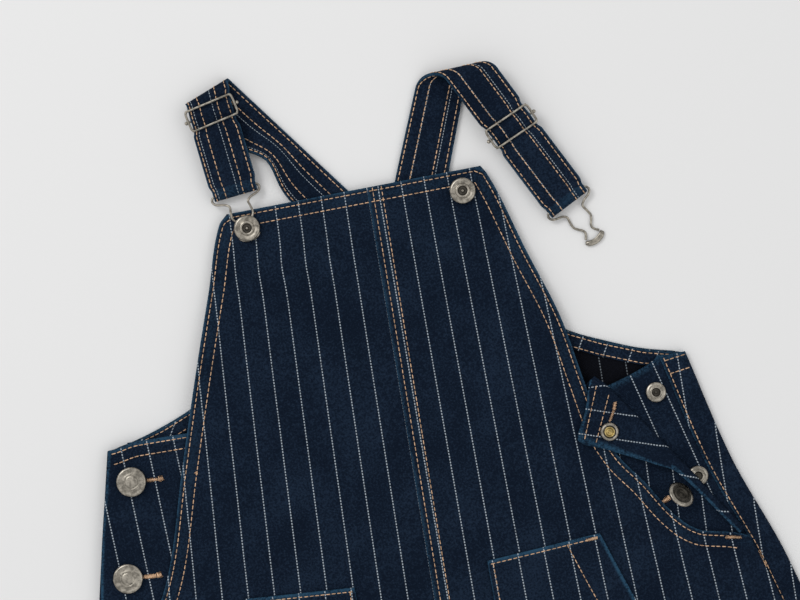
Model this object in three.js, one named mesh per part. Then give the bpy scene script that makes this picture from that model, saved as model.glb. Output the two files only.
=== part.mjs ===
// Overall skirt in striped denim, laid out flat on its back with the right side opening undone.
// Millimetres, +Z up. The garment is drawn with its centre seam along Y, the top of the bib at
// Y = 0 and the surface that it lies on at Z = 0. The last lines centre the whole on the origin.
import * as THREE from "three";

// ---- Driving dimensions -------------------------------------------------------------------------

const CLOTH = 1.2; // one thickness of denim
const GAP = 0.3; // clearance between neighbouring pieces
const BAND = 1.0; // thickness of the facing band inside the back
const LAYER = CLOTH + GAP;
const HEM_Y = -500; // hem, measured down from the top of the bib
const BIB_TILT = 0.025; // rise of the bib's top edge towards the right

const BAND_Z = LAYER; // undersides of the layers, from the table upwards
const UNDERLAY_Z = BAND_Z + BAND + GAP;
const SIDE_Z = UNDERLAY_Z + LAYER;
const FRONT_Z = SIDE_Z + LAYER;
const BIB_TOP_Z = 2.2; // underside of the bib over the straps

const WRAP_WIDTH = 15; // how far the back wraps round to the front
const WRAP_RADIUS = UNDERLAY_Z / 2; // middle of the cloth in that wrap
const WRAP_GAP = 0.8; // between the wrapped edge and the underlay
const BAND_WIDTH = 8;

const STRAP = 1.8; // two plies sewn together
const STRAP_HALF = 13.3;
const STRAP_PINCH = 12.2; // half width where metal goes round the strap
const LOOP_RADIUS = 2.2; // middle of the strap round the hook's bar
const LET_IN_Y = -20; // where the straps meet the top of the back
const WIRE = 0.65; // wire radius of the slider and the hook
const SLIDER_HALF = 5.7; // centre bar to outer bar
const SLIDER_RAIL = 13.7; // side rails, from the middle of the strap
const SLIDER_BUMP = 2.2; // rise of the strap over the centre bar

const BIB_BUTTON = 14.5;
const SIDE_BUTTON = 16.5;
const SOCKET = 10.3;
const STUD = 11.3;

// Outer edge of each front half: bib side, scooped side opening, then the side seam.
const FRONT_EDGE_RIGHT = [
  { y: 0, x: 64 },
  { y: -5, x: 67 },
  { y: -50, x: 81.5 },
  { y: -90, x: 94.5 },
  { y: -125, x: 101 },
  { y: -155, x: 107 },
  { y: -170, x: 113.5 },
  { y: -185, x: 124.5 },
  { y: -208, x: 140 },
  { y: -217, x: 151 },
  { y: -221, x: 168 },
  { y: -224, x: 176 },
  { y: -245, x: 184 },
  { y: HEM_Y, x: 248 },
];
const FRONT_EDGE_LEFT = [
  { y: 0, x: -79 },
  { y: -5, x: -84 },
  { y: -42, x: -96 },
  { y: -105, x: -116 },
  { y: -142, x: -127.5 },
  { y: -186, x: -140.5 },
  { y: -208, x: -150 },
  { y: -222, x: -160 },
  { y: -229, x: -170 },
  { y: -233, x: -179 },
  { y: -250, x: -184 },
  { y: HEM_Y, x: -229 },
];

// Outline of the back: its sides from the top corner down to the hem, and its top edge.
const OUTLINE_RIGHT = [
  { y: -118.5, x: 159.5 },
  { y: -180, x: 175 },
  { y: -240, x: 197 },
  { y: HEM_Y, x: 262 },
];
const OUTLINE_LEFT = [
  { y: -121, x: -166 },
  { y: -200, x: -183.5 },
  { y: HEM_Y, x: -243 },
];
const BACK_TOP = [
  { x: -166, y: -121 },
  { x: -150, y: -117.5 },
  { x: -134, y: -112.5 },
  { x: -116, y: -105 },
  { x: -85, y: -86 },
  { x: -55, y: -55 },
  { x: -38, y: -30 },
  { x: -31, y: -20.4 },
  { x: 5, y: -20.4 },
  { x: 40, y: -20.4 },
  { x: 47, y: -32 },
  { x: 62, y: -58 },
  { x: 80, y: -82 },
  { x: 97, y: -96 },
  { x: 115, y: -104.5 },
  { x: 137, y: -113 },
  { x: 159.5, y: -118.5 },
];

// Outer edge of the buttoned side piece, and the outer side of each pocket.
const SIDE_EDGE_LEFT = [
  { y: -120, x: -165 },
  { y: -200, x: -182 },
  { y: -222, x: -184 },
  { y: -246, x: -175 },
];
const POCKETS = [
  {
    name: "pocket_right",
    side: 1,
    top: { inner: { x: 32, y: -214.5 }, outer: { x: 96, y: -209.5 } },
    outer: [
      { y: -210, x: 96 },
      { y: -250, x: 110 },
      { y: -292, x: 128 },
      { y: -338, x: 133 },
      { y: -350, x: 124 },
    ],
  },
  {
    name: "pocket_left",
    side: -1,
    top: { inner: { x: -42.5, y: -217 }, outer: { x: -103, y: -213.5 } },
    outer: [
      { y: -214, x: -103 },
      { y: -254, x: -117 },
      { y: -296, x: -134 },
      { y: -342, x: -139 },
      { y: -354, x: -130 },
    ],
  },
];
const POCKET_FOOT = 12; // rounding of the pocket's lower corners

// Soft folds of the skirt front that run down to the hem. x and lean are taken at the hem.
const HEM_FOLDS = [
  { x: -160, lean: 40, height: 4.0, width: 24 },
  { x: -62, lean: 16, height: 3.0, width: 20 },
  { x: 70, lean: 20, height: 4.5, width: 26 },
  { x: 172, lean: 45, height: 3.2, width: 22 },
];
const FOLD_START_Y = -270;

// The undone side piece turns over along a straight fold from FLAP_START.
const FLAP_START = new THREE.Vector2(106, -124.5);
const FLAP_ANGLE = THREE.MathUtils.degToRad(-54.7);
const FLAP_RADIUS = 2.3;
const FLAP_REACH = 30; // how far the piece goes in under the front, from the fold line
// along: distance down the fold line. back: how far the turned-over cloth comes back across it.
const FLAP_BACK = [
  { along: 0, back: 2.2 },
  { along: 10, back: 16 },
  { along: 19, back: 30 },
  { along: 32, back: 23 },
  { along: 44, back: 16.5 },
  { along: 56, back: 10 },
  { along: 70, back: 3.5 },
  { along: 96, back: 2.6 },
  { along: 118, back: 2.6 },
];
const FLAP_LIFT = { along: 80, reach: 16, inside: 9, height: 2.6 }; // where it rides over the lower stud

// Straps: where each leaves the bib, the angle of its rising and falling parts, and its loop.
const STRAPS = [
  {
    side: "left",
    base: new THREE.Vector2(-28, 1),
    riseAngle: 127.5,
    fallAngle: -83.1,
    rise: 79,
    radius: 3.4,
    slide: 0,
    fall: 66.8,
    slider: 47.5,
    sliderTilt: -6.5,
    settle: (t) => 1 - (1 - t) ** 2,
    baseHalf: 13.3,
  },
  {
    side: "right",
    base: new THREE.Vector2(31.5, 2),
    riseAngle: 69.1,
    fallAngle: -62.1,
    rise: 52.5,
    radius: 5,
    slide: 10,
    fall: 107.5,
    slider: 54,
    sliderTilt: 3.2,
    settle: (t) => t ** 2,
    baseHalf: 14.2,
  },
];

// Half of the hook's wire, from its end plate to the middle of its bar. along is measured from
// the end of the strap, half is the distance from the hook's centre line.
const HOOK_WIRE = [
  { along: 21.0, half: 4.7 },
  { along: 19.6, half: 3.4 },
  { along: 17.8, half: 2.5 },
  { along: 16.0, half: 2.8 },
  { along: 13.8, half: 4.6 },
  { along: 11.4, half: 6.0 },
  { along: 8.0, half: 5.8 },
  { along: 4.8, half: 5.4 },
  { along: 2.9, half: 7.6 },
  { along: 2.0, half: 10.4 },
  { along: 1.2, half: 12.4 },
  { along: -0.6, half: 13.7 },
  { along: -2.4, half: 13.3 },
  { along: -LOOP_RADIUS - STRAP / 2, half: 11.8 },
  { along: -LOOP_RADIUS - STRAP / 2, half: 6 },
];
const PLATE = { from: 21.7, notch: 23.2, to: 26.4, half: 6.3, thickness: 1.3 };

const BIB_BUTTONS = [
  { side: "left", x: -69, y: -11.5 },
  { side: "right", x: 52, y: -10.5 },
];
const SIDE_BUTTONS_LEFT = [
  { name: "side_button_left_upper", x: -155, y: -139.5 },
  { name: "side_button_left_lower", x: -165.5, y: -192 },
];
const STUDS = [
  { name: "stud_right_upper", x: 139.5, y: -138 },
  { name: "stud_right_lower", x: 155, y: -187.5 },
];
const TURNED_BUTTON = { x: 110, y: -155 }; // on the turned-over cloth, its face down
const TILTED_BUTTON = { x: 142.5, y: -196, size: 15.5, tilt: 45, turn: 43 };

const FINISHES = {
  denim: { color: 0x1a2431, roughness: 0.9, metalness: 0 },
  nickel: { color: 0x968f80, roughness: 0.35, metalness: 1 },
  brass: { color: 0xb9a468, roughness: 0.3, metalness: 1 },
};

// ---- Shape helpers ------------------------------------------------------------------------------

const clamp01 = (t) => Math.min(1, Math.max(0, t));
const smooth = (t) => clamp01(t) ** 2 * (3 - 2 * clamp01(t));
const mix = (a, b, t) => a + (b - a) * t;
const steps = (count) => Array.from({ length: count + 1 }, (_, i) => i / count);

// Smooth value of a table's column `out` at `at` in its column `by`: a cubic between the rows.
function along(table, by, out, at) {
  const rows = table[0][by] < table[table.length - 1][by] ? table : [...table].reverse();
  const last = rows.length - 1;
  const x = Math.min(Math.max(at, rows[0][by]), rows[last][by]);
  let i = 0;
  while (i < last - 1 && x > rows[i + 1][by]) i += 1;
  const slope = (a, b) => (rows[b][out] - rows[a][out]) / (rows[b][by] - rows[a][by]);
  const tangent = (k) => {
    if (k === 0) return slope(0, 1);
    if (k === last) return slope(last - 1, last);
    const before = slope(k - 1, k);
    const after = slope(k, k + 1);
    return before * after <= 0 ? 0 : (2 * before * after) / (before + after);
  };
  const span = rows[i + 1][by] - rows[i][by];
  const t = (x - rows[i][by]) / span;
  const curve = (2 * t ** 3 - 3 * t ** 2 + 1) * rows[i][out] + (3 * t ** 2 - 2 * t ** 3) * rows[i + 1][out];
  return curve + span * ((t ** 3 - 2 * t ** 2 + t) * tangent(i) + (t ** 3 - t ** 2) * tangent(i + 1));
}

// Underside of the bib and skirt front.
function frontZ(x, y) {
  const overBack = 0.7 * smooth(-y / 20);
  const overSides = (FRONT_Z - BIB_TOP_Z - 0.7) * smooth((-y - 20) / 85);
  const edge = x > 0 ? along(FRONT_EDGE_RIGHT, "y", "x", y) : -along(FRONT_EDGE_LEFT, "y", "x", y);
  const seam = (FRONT_Z - SIDE_Z) * smooth((Math.abs(x) - edge + 30) / 24) * smooth((-y - 252) / 24);
  const down = clamp01((y - FOLD_START_Y) / (HEM_Y - FOLD_START_Y));
  const folds = HEM_FOLDS.map((fold) => {
    const off = (x - fold.x + Math.sign(fold.x) * fold.lean * (1 - down)) / fold.width;
    return fold.height * smooth(down) * Math.exp(-off * off);
  });
  return BIB_TOP_Z + overBack + overSides - seam + folds.reduce((sum, rise) => sum + rise, 0);
}

// Turns a geometry inside out if its faces point inwards.
function facingOut(geometry) {
  const p = geometry.getAttribute("position");
  const corner = (i) => new THREE.Vector3().fromBufferAttribute(p, geometry.index.getX(i));
  let volume = 0;
  for (let i = 0; i < geometry.index.count; i += 3) {
    volume += corner(i).dot(corner(i + 1).cross(corner(i + 2)));
  }
  if (volume < 0) geometry.setIndex(Array.from(geometry.index.array).reverse());
  return geometry;
}

// A closed wall of cloth. grid[i][j] are points of its middle surface.
function wall(grid, thickness) {
  const rows = grid.length;
  const columns = grid[0].length;
  const at = (i, j) => grid[Math.min(Math.max(i, 0), rows - 1)][Math.min(Math.max(j, 0), columns - 1)];
  const positions = [];
  for (const side of [0.5, -0.5]) {
    for (let i = 0; i < rows; i += 1) {
      for (let j = 0; j < columns; j += 1) {
        const down = at(i + 1, j).clone().sub(at(i - 1, j));
        const across = at(i, j + 1).clone().sub(at(i, j - 1));
        const normal = across.cross(down).normalize().multiplyScalar(side * thickness);
        positions.push(...at(i, j).clone().add(normal).toArray());
      }
    }
  }
  const top = (i, j) => i * columns + j;
  const under = (i, j) => rows * columns + top(i, j);
  const index = [];
  const quad = (a, b, c, d) => index.push(a, b, c, a, c, d);
  for (let i = 0; i < rows - 1; i += 1) {
    for (let j = 0; j < columns - 1; j += 1) {
      quad(top(i, j), top(i, j + 1), top(i + 1, j + 1), top(i + 1, j));
      quad(under(i, j), under(i + 1, j), under(i + 1, j + 1), under(i, j + 1));
    }
    quad(top(i, 0), top(i + 1, 0), under(i + 1, 0), under(i, 0));
    quad(top(i + 1, columns - 1), top(i, columns - 1), under(i, columns - 1), under(i + 1, columns - 1));
  }
  for (let j = 0; j < columns - 1; j += 1) {
    quad(top(0, j + 1), top(0, j), under(0, j), under(0, j + 1));
    quad(top(rows - 1, j), top(rows - 1, j + 1), under(rows - 1, j + 1), under(rows - 1, j));
  }
  const geometry = new THREE.BufferGeometry();
  geometry.setAttribute("position", new THREE.Float32BufferAttribute(positions, 3));
  geometry.setIndex(index);
  return facingOut(geometry);
}

// A wall whose middle surface is place(row, column).
function wallOf(rows, columns, place, thickness = CLOTH) {
  return wall(rows.map((row) => columns.map((column) => place(row, column))), thickness);
}

// A solid turned about +Z from a profile of [radius, height] points that starts and ends at radius 0.
function turned(profile, segments = 16) {
  const geometry = new THREE.LatheGeometry(profile.map(([r, z]) => new THREE.Vector2(r, z)), segments);
  return geometry.rotateX(Math.PI / 2);
}

const garment = new THREE.Group();

function add(name, geometry, finish) {
  const mesh = new THREE.Mesh(geometry, new THREE.MeshStandardMaterial(FINISHES[finish]));
  mesh.name = name;
  garment.add(mesh);
  return mesh;
}

// ---- Back ---------------------------------------------------------------------------------------

// Columns run from the top edge down to the hem, with the wrapped sides as further columns.
function backPanel() {
  const first = BACK_TOP[0];
  const last = BACK_TOP[BACK_TOP.length - 1];
  const wrapAngles = [-60, -30, 0, 30, 60, 90];
  const wrapSide = (outline, corner, side) => (t, angle, back) => {
    const y = mix(corner.y, HEM_Y, t);
    const turn = THREE.MathUtils.degToRad(angle);
    const centre = along(outline, "y", "x", y) - side * (WRAP_RADIUS + CLOTH / 2);
    const x = centre + side * (WRAP_RADIUS * Math.cos(turn) - back);
    return new THREE.Vector3(x, y, CLOTH / 2 + WRAP_RADIUS * (1 + Math.sin(turn)));
  };
  const left = wrapSide(OUTLINE_LEFT, first, -1);
  const right = wrapSide(OUTLINE_RIGHT, last, 1);
  const wrapBack = WRAP_WIDTH - WRAP_RADIUS - CLOTH / 2;
  const inner = BACK_TOP.slice(1, -1);
  const rows = steps(12).map((t) => [
    left(t, 90, wrapBack),
    ...[...wrapAngles].reverse().map((angle) => left(t, angle, 0)),
    left(t, -90, 0),
    ...inner.map((top) => {
      const share = (top.x - first.x) / (last.x - first.x);
      const hemX = mix(along(OUTLINE_LEFT, "y", "x", HEM_Y), along(OUTLINE_RIGHT, "y", "x", HEM_Y), share);
      return new THREE.Vector3(mix(top.x, hemX, t), mix(top.y, HEM_Y, t), CLOTH / 2);
    }),
    right(t, -90, 0),
    ...wrapAngles.map((angle) => right(t, angle, 0)),
    right(t, 90, wrapBack),
  ]);
  return wall(rows, CLOTH);
}

// The facing band follows the back's top edge on its inside.
function backBand() {
  const points = BACK_TOP.map((row) => new THREE.Vector3(row.x, row.y, BAND_Z + BAND / 2));
  points[0].x += 3;
  points[points.length - 1].x -= 3;
  const middle = new THREE.CatmullRomCurve3(points, false, "centripetal");
  const place = (t, share) => {
    const tangent = middle.getTangent(t);
    const inwards = new THREE.Vector3(tangent.y, -tangent.x, 0).normalize();
    return middle.getPoint(t).addScaledVector(inwards, 1.4 + share * BAND_WIDTH);
  };
  return wallOf(steps(44), [0, 1], place, BAND);
}

add("back_panel", backPanel(), "denim");
add("back_band", backBand(), "denim");

// ---- Side openings ------------------------------------------------------------------------------

// The underlay continues the back inside its wrapped edge and carries the studs.
function underlay(side) {
  const outline = side > 0 ? OUTLINE_RIGHT : OUTLINE_LEFT;
  const width = 34;
  const place = (t, share) => {
    const topY = mix(-118, -130.5, share ** 0.7);
    const y = mix(topY, -246, t);
    const outer = along(outline, "y", "x", y) - side * (WRAP_WIDTH + WRAP_GAP);
    return new THREE.Vector3(outer - side * width * share, y, UNDERLAY_Z + CLOTH / 2);
  };
  return wallOf(steps(8), steps(6), place);
}

function sidePieceLeft() {
  const place = (t, share) => {
    const y = mix(-118 - 2.5 * smooth((share - 0.7) / 0.3), -246, t);
    const inner = mix(-105, -141, t);
    const outer = along(SIDE_EDGE_LEFT, "y", "x", y);
    return new THREE.Vector3(mix(inner, outer, share), y, SIDE_Z + CLOTH / 2);
  };
  return wallOf(steps(12), steps(8), place);
}

const flapAlong = new THREE.Vector2(Math.cos(FLAP_ANGLE), Math.sin(FLAP_ANGLE));
const flapInwards = new THREE.Vector2(flapAlong.y, -flapAlong.x);

// A point of the undone side piece: distance down the fold line, distance in from it, and height.
function flapPoint(down, inside, z) {
  const flat = FLAP_START.clone().addScaledVector(flapAlong, down).addScaledVector(flapInwards, inside);
  return new THREE.Vector3(flat.x, flat.y, z);
}

function sidePieceRight() {
  const row = (down) => {
    const away = (down - FLAP_LIFT.along) / FLAP_LIFT.reach;
    const lift = (inside) =>
      FLAP_LIFT.height * Math.exp(-away * away) * smooth((FLAP_LIFT.inside - inside) / FLAP_LIFT.inside);
    const radius = mix(0.85, FLAP_RADIUS, smooth(down / 8) * smooth((92 - down) / 36));
    const low = SIDE_Z + CLOTH / 2;
    const back = along(FLAP_BACK, "along", "back", down);
    const flat = [FLAP_REACH, 20, 14, 9, 6, 3, 0].map((inside) => flapPoint(down, inside, low + lift(inside)));
    const bend = [30, 60, 90, 120, 150, 180].map((angle) => {
      const turn = THREE.MathUtils.degToRad(angle);
      return flapPoint(down, -radius * Math.sin(turn), low + lift(0) + radius * (1 - Math.cos(turn)));
    });
    const over = [0.25, 0.5, 0.75, 1].map((t) => flapPoint(down, back * t, low + lift(0) + 2 * radius));
    return [...flat, ...bend, ...over];
  };
  const stations = [0, 5, 10, 14.5, 19, 25, 32, 38, 44, 50, 56, 63, 70, 76, 82, 88, 96, 104, 111, 118];
  return wall(stations.map(row), CLOTH);
}

add("underlay_left", underlay(-1), "denim");
add("underlay_right", underlay(1), "denim");
add("side_piece_left", sidePieceLeft(), "denim");
add("side_piece_right", sidePieceRight(), "denim");

// ---- Front --------------------------------------------------------------------------------------

function frontPanel(edge, side) {
  const between = [-12, -28, -70, -110, -275, -310, -350, -390, -430, -465];
  const levels = [...edge.map((row) => row.y), ...between].sort((a, b) => b - a);
  const place = (level, share) => {
    const x = mix((side * GAP) / 2, along(edge, "y", "x", level), share);
    const y = level + BIB_TILT * x * smooth((level + 100) / 100);
    return new THREE.Vector3(x, y, frontZ(x, level) + CLOTH / 2);
  };
  return wallOf(levels, steps(10), place);
}

function pocket(spec) {
  const { inner, outer } = spec.top;
  const foot = spec.outer[spec.outer.length - 1].y;
  const place = (t, share) => {
    const y = mix(mix(inner.y, outer.y, share), foot, t);
    const low = clamp01((foot + POCKET_FOOT - y) / POCKET_FOOT);
    const rounding = POCKET_FOOT * (1 - Math.sqrt(1 - low ** 2)) * 0.6;
    const innerX = inner.x + spec.side * (2 * t + rounding);
    const x = mix(innerX, along(spec.outer, "y", "x", y), share);
    return new THREE.Vector3(x, y, frontZ(x, y) + LAYER + CLOTH / 2);
  };
  return wallOf([0, 0.1, 0.2, 0.32, 0.45, 0.58, 0.7, 0.82, 0.92, 0.97, 1], steps(8), place);
}

add("front_left", frontPanel(FRONT_EDGE_LEFT, -1), "denim");
add("front_right", frontPanel(FRONT_EDGE_RIGHT, 1), "denim");
for (const spec of POCKETS) add(spec.name, pocket(spec), "denim");

// ---- Straps, sliders and hooks ------------------------------------------------------------------

const unit = (degrees) => {
  const angle = THREE.MathUtils.degToRad(degrees);
  return new THREE.Vector2(Math.cos(angle), Math.sin(angle));
};

// The strap rises flat on the table, loops over along an inclined line and falls back to its hook.
function strapFrame(spec) {
  const up = unit(spec.riseAngle);
  const down = unit(spec.fallAngle);
  const fold = spec.base.clone().addScaledVector(up, spec.rise);
  const normal = up.clone().sub(down).normalize();
  const slideAlong = new THREE.Vector2(normal.y, -normal.x);
  const half = Math.PI * spec.radius;
  const flatZ = STRAP / 2;
  const start = fold.clone().addScaledVector(normal, half).addScaledVector(slideAlong, spec.slide);
  const end = start.clone().addScaledVector(down, spec.fall);
  const endZ = flatZ + 2 * LOOP_RADIUS;
  const loopZ = flatZ + 2 * spec.radius;
  const across = new THREE.Vector2(-down.y, down.x);
  const foldLength = spec.fall - half / normal.dot(up);
  const tilt = Math.tan(THREE.MathUtils.degToRad(spec.sliderTilt));

  // Height of the upper layer at a distance e back from the hook end.
  const topZ = (e) => endZ + (loopZ - endZ) * spec.settle(clamp01(e / foldLength));
  // Point in the falling part: e back from its end, w across, z up.
  const fallen = (e, w, z) => {
    const flat = end.clone().addScaledVector(down, -e).addScaledVector(across, w);
    return new THREE.Vector3(flat.x, flat.y, z);
  };
  // The strap rises over the slider's centre bar.
  const bump = (e, w) => {
    const off = (e - spec.slider + w * tilt) / (SLIDER_HALF - 1.1);
    return Math.abs(off) < 1 ? SLIDER_BUMP * Math.cos((off * Math.PI) / 2) ** 2 : 0;
  };
  // Point on the strap from the bib, round the loop and down: s past the fold line, w across.
  const looped = (s, w) => {
    const flat = fold.clone().addScaledVector(up, s).add(new THREE.Vector2(up.y, -up.x).multiplyScalar(w));
    const past = flat.clone().sub(fold).dot(normal);
    if (past <= 0) return new THREE.Vector3(flat.x, flat.y, flatZ);
    if (past >= half) return fallen(spec.fall - s, w, topZ(spec.fall - s) + bump(spec.fall - s, w));
    const turn = past / spec.radius;
    flat.addScaledVector(normal, spec.radius * Math.sin(turn) - past);
    flat.addScaledVector(slideAlong, spec.slide * smooth(past / half));
    return new THREE.Vector3(flat.x, flat.y, flatZ + spec.radius * (1 - Math.cos(turn)));
  };
  return { ...spec, up, down, fold, normal, half, tilt, looped, topZ, fallen, end };
}

// Half width: narrower in the slider and at the hook.
function strapHalf(strap, e) {
  const atSlider = smooth((11 - Math.abs(e - strap.slider)) / 4);
  const atHook = smooth((9 - e) / 4);
  return mix(STRAP_HALF, STRAP_PINCH, Math.max(atSlider, atHook));
}

function strapWall(strap) {
  const columns = [-1, -0.5, 0, 0.5, 1];
  const grid = [];
  const lean = strap.half / strap.normal.dot(strap.up);
  const skew = Math.abs(strap.up.y * strap.normal.x - strap.up.x * strap.normal.y) * strap.baseHalf;
  // Let into the back's top edge, then rising to the loop.
  const rising = (s) => {
    const half = mix(strap.baseHalf, strapHalf(strap, strap.fall - s), clamp01(1 + s / strap.rise));
    return columns.map((c) => strap.looped(s, c * half));
  };
  grid.push(columns.map((c) => {
    const w = c * strap.baseHalf;
    const s = (LET_IN_Y - strap.fold.y + strap.up.x * w) / strap.up.y;
    return strap.looped(s, w);
  }));
  for (const t of steps(4)) grid.push(rising(mix(-strap.rise - 6, -skew - 1, t)));
  // Round the loop until every point has left it.
  const loopEnd = lean + skew + 1;
  for (const t of steps(20).slice(1)) grid.push(rising(mix(-skew - 1, loopEnd, t)));
  // Down the upper layer, over the slider's centre bar, to the hook.
  const barE = LOOP_RADIUS + STRAP / 2;
  const firstE = strap.fall - loopEnd;
  const above = [0.93, 0.8, 0.62, 0.45, 0.25].map((t) => mix(strap.slider + 9, firstE, t));
  const nearSlider = [8, 6, 4.5, 3, 1.5, 0, -1.5, -3, -4.5, -6, -8, -12].map((off) => strap.slider + off);
  const below = [0.8, 0.6, 0.4, 0.25, 0.12, 0].map((t) => mix(barE, strap.slider - 12, t));
  const levels = firstE > strap.slider + 12 ? [...above, ...nearSlider, ...below] : [...nearSlider, ...below];
  for (const e of levels.filter((e) => e < firstE - 0.8)) {
    grid.push(columns.map((c) => strap.looped(strap.fall - e, c * strapHalf(strap, e))));
  }
  // Round the hook's bar and back underneath to the slider's centre bar.
  const barZ = strap.topZ(barE) - LOOP_RADIUS;
  for (const angle of [30, 60, 90, 120, 150]) {
    const turn = THREE.MathUtils.degToRad(angle);
    const e = barE - LOOP_RADIUS * Math.sin(turn);
    grid.push(columns.map((c) => strap.fallen(e, c * STRAP_PINCH, barZ + LOOP_RADIUS * Math.cos(turn))));
  }
  const returnZ = (e) => {
    const apart = mix(2 * LOOP_RADIUS, STRAP + 2 * GAP, smooth((e - barE) / 10));
    return strap.topZ(e) - mix(apart, STRAP - GAP, smooth((e - strap.slider + 6) / 5));
  };
  for (const t of [0, 0.1, 0.22, 0.36, 0.5, 0.65, 0.78, 0.85, 0.91, 0.96, 1]) {
    grid.push(columns.map((c) => {
      const e = mix(barE, strap.slider + 1 - c * STRAP_PINCH * strap.tilt * t, t);
      return strap.fallen(e, c * (strapHalf(strap, e) - 0.4 * smooth(t * 4)), returnZ(e));
    }));
  }
  return wall(grid, STRAP);
}

// Point near the slider: along the strap from the centre bar, across, and above the upper layer.
function sliderPoint(strap, e, w, rise) {
  const turn = THREE.MathUtils.degToRad(strap.sliderTilt);
  const backE = e * Math.cos(turn) - w * Math.sin(turn);
  const acrossW = e * Math.sin(turn) + w * Math.cos(turn);
  const slope = strap.topZ(strap.slider + 1) - strap.topZ(strap.slider);
  return strap.fallen(strap.slider + backE, acrossW, strap.topZ(strap.slider) + slope * backE + rise);
}

function sliderFrame(strap) {
  const e = SLIDER_HALF;
  const w = SLIDER_RAIL;
  const r = 1.9;
  const quarter = [[e, w - r], [e - 0.3 * r, w - 0.3 * r], [e - r, w]];
  const mirror = (points, se, sw) => points.map(([pe, pw]) => [pe * se, pw * sw]);
  const loop = [
    [e, 0],
    ...quarter,
    [0, w],
    ...mirror([...quarter].reverse(), -1, 1),
    [-e, 0],
    ...mirror(quarter, -1, -1),
    [0, -w],
    ...mirror([...quarter].reverse(), 1, -1),
  ];
  const points = loop.map(([pe, pw]) => sliderPoint(strap, pe, pw, STRAP / 2 + 0.45 + WIRE));
  return new THREE.TubeGeometry(new THREE.CatmullRomCurve3(points, true, "centripetal"), 36, WIRE, 6, true);
}

function sliderBar(strap) {
  const ballAt = SLIDER_RAIL + 1.3;
  const ball = 1.1;
  const neck = Math.sqrt(ball ** 2 - WIRE ** 2);
  const arc = [0.25, 0.5, 0.75].map((t) => {
    const turn = mix(Math.atan2(WIRE, -neck), 0, t);
    return [ball * Math.sin(turn), ballAt + ball * Math.cos(turn)];
  });
  const half = [[WIRE, ballAt - neck], ...arc];
  const profile = [[0, -ballAt - ball], ...half.map(([r, z]) => [r, -z]).reverse(), ...half, [0, ballAt + ball]];
  const geometry = turned(profile, 10);
  const ends = [-1, 1].map((w) => sliderPoint(strap, 0, w, SLIDER_BUMP - STRAP / 2 - GAP - WIRE));
  const direction = ends[1].clone().sub(ends[0]).normalize();
  geometry.applyQuaternion(new THREE.Quaternion().setFromUnitVectors(new THREE.Vector3(0, 0, 1), direction));
  const middle = ends[0].add(ends[1]).multiplyScalar(0.5);
  return geometry.translate(middle.x, middle.y, middle.z);
}

// The left hook points at its button. The right hook lies free on the table, in line with its strap.
function hookFrame(strap) {
  const button = BIB_BUTTONS.find((spec) => spec.side === "left");
  const barZ = strap.topZ(LOOP_RADIUS + STRAP / 2) - LOOP_RADIUS;
  const fastened = strap.side === "left";
  const post = new THREE.Vector2(button.x, button.y);
  const axis = fastened ? post.clone().sub(strap.end).normalize() : strap.down;
  const lieZ = fastened ? frontZ(button.x, button.y) + LAYER + WIRE : WIRE + 0.1;
  const across = new THREE.Vector2(-axis.y, axis.x);
  const place = (distance, half, z = mix(barZ, lieZ, smooth((distance + 1) / (fastened ? 6 : 9)))) => {
    const flat = strap.end.clone().addScaledVector(axis, distance).addScaledVector(across, half);
    return new THREE.Vector3(flat.x, flat.y, z);
  };
  return { place, axis, across, lieZ };
}

function hookWire(hook) {
  const half = HOOK_WIRE.map((row) => hook.place(row.along, row.half));
  const other = HOOK_WIRE.map((row) => hook.place(row.along, -row.half)).reverse();
  const path = new THREE.CatmullRomCurve3([...half, ...other], false, "centripetal");
  const section = new THREE.Shape(steps(6).slice(1).map((t) => {
    const turn = t * 2 * Math.PI;
    return new THREE.Vector2(WIRE * Math.cos(turn), WIRE * Math.sin(turn));
  }));
  return new THREE.ExtrudeGeometry(section, { steps: 64, bevelEnabled: false, extrudePath: path });
}

function hookPlate(hook) {
  const { from, notch, to, half, thickness } = PLATE;
  const outline = new THREE.Shape();
  outline.moveTo(from, -half + 1.2);
  outline.quadraticCurveTo(notch - 0.4, -2.6, notch, 0);
  outline.quadraticCurveTo(notch - 0.4, 2.6, from, half - 1.2);
  outline.quadraticCurveTo(from + 0.2, half + 0.4, from + 1.5, half);
  outline.quadraticCurveTo(to, half - 1.8, to, 0);
  outline.quadraticCurveTo(to, -half + 1.8, from + 1.5, -half);
  outline.quadraticCurveTo(from + 0.2, -half - 0.4, from, -half + 1.2);
  const geometry = new THREE.ExtrudeGeometry(outline, { depth: thickness, bevelEnabled: false, curveSegments: 5 });
  const base = hook.place(0, 0, hook.lieZ - WIRE);
  const axisX = new THREE.Vector3(hook.axis.x, hook.axis.y, 0);
  const axisY = new THREE.Vector3(hook.across.x, hook.across.y, 0);
  const basis = new THREE.Matrix4().makeBasis(axisX, axisY, new THREE.Vector3(0, 0, 1));
  return geometry.applyMatrix4(basis.setPosition(base));
}

for (const spec of STRAPS) {
  const strap = strapFrame(spec);
  const hook = hookFrame(strap);
  add(`strap_${spec.side}`, strapWall(strap), "denim");
  add(`slider_${spec.side}`, sliderFrame(strap), "nickel");
  add(`slider_bar_${spec.side}`, sliderBar(strap), "nickel");
  add(`hook_${spec.side}`, hookWire(hook), "nickel");
  add(`hook_plate_${spec.side}`, hookPlate(hook), "nickel");
}

// ---- Buttons, socket and studs ------------------------------------------------------------------

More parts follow.
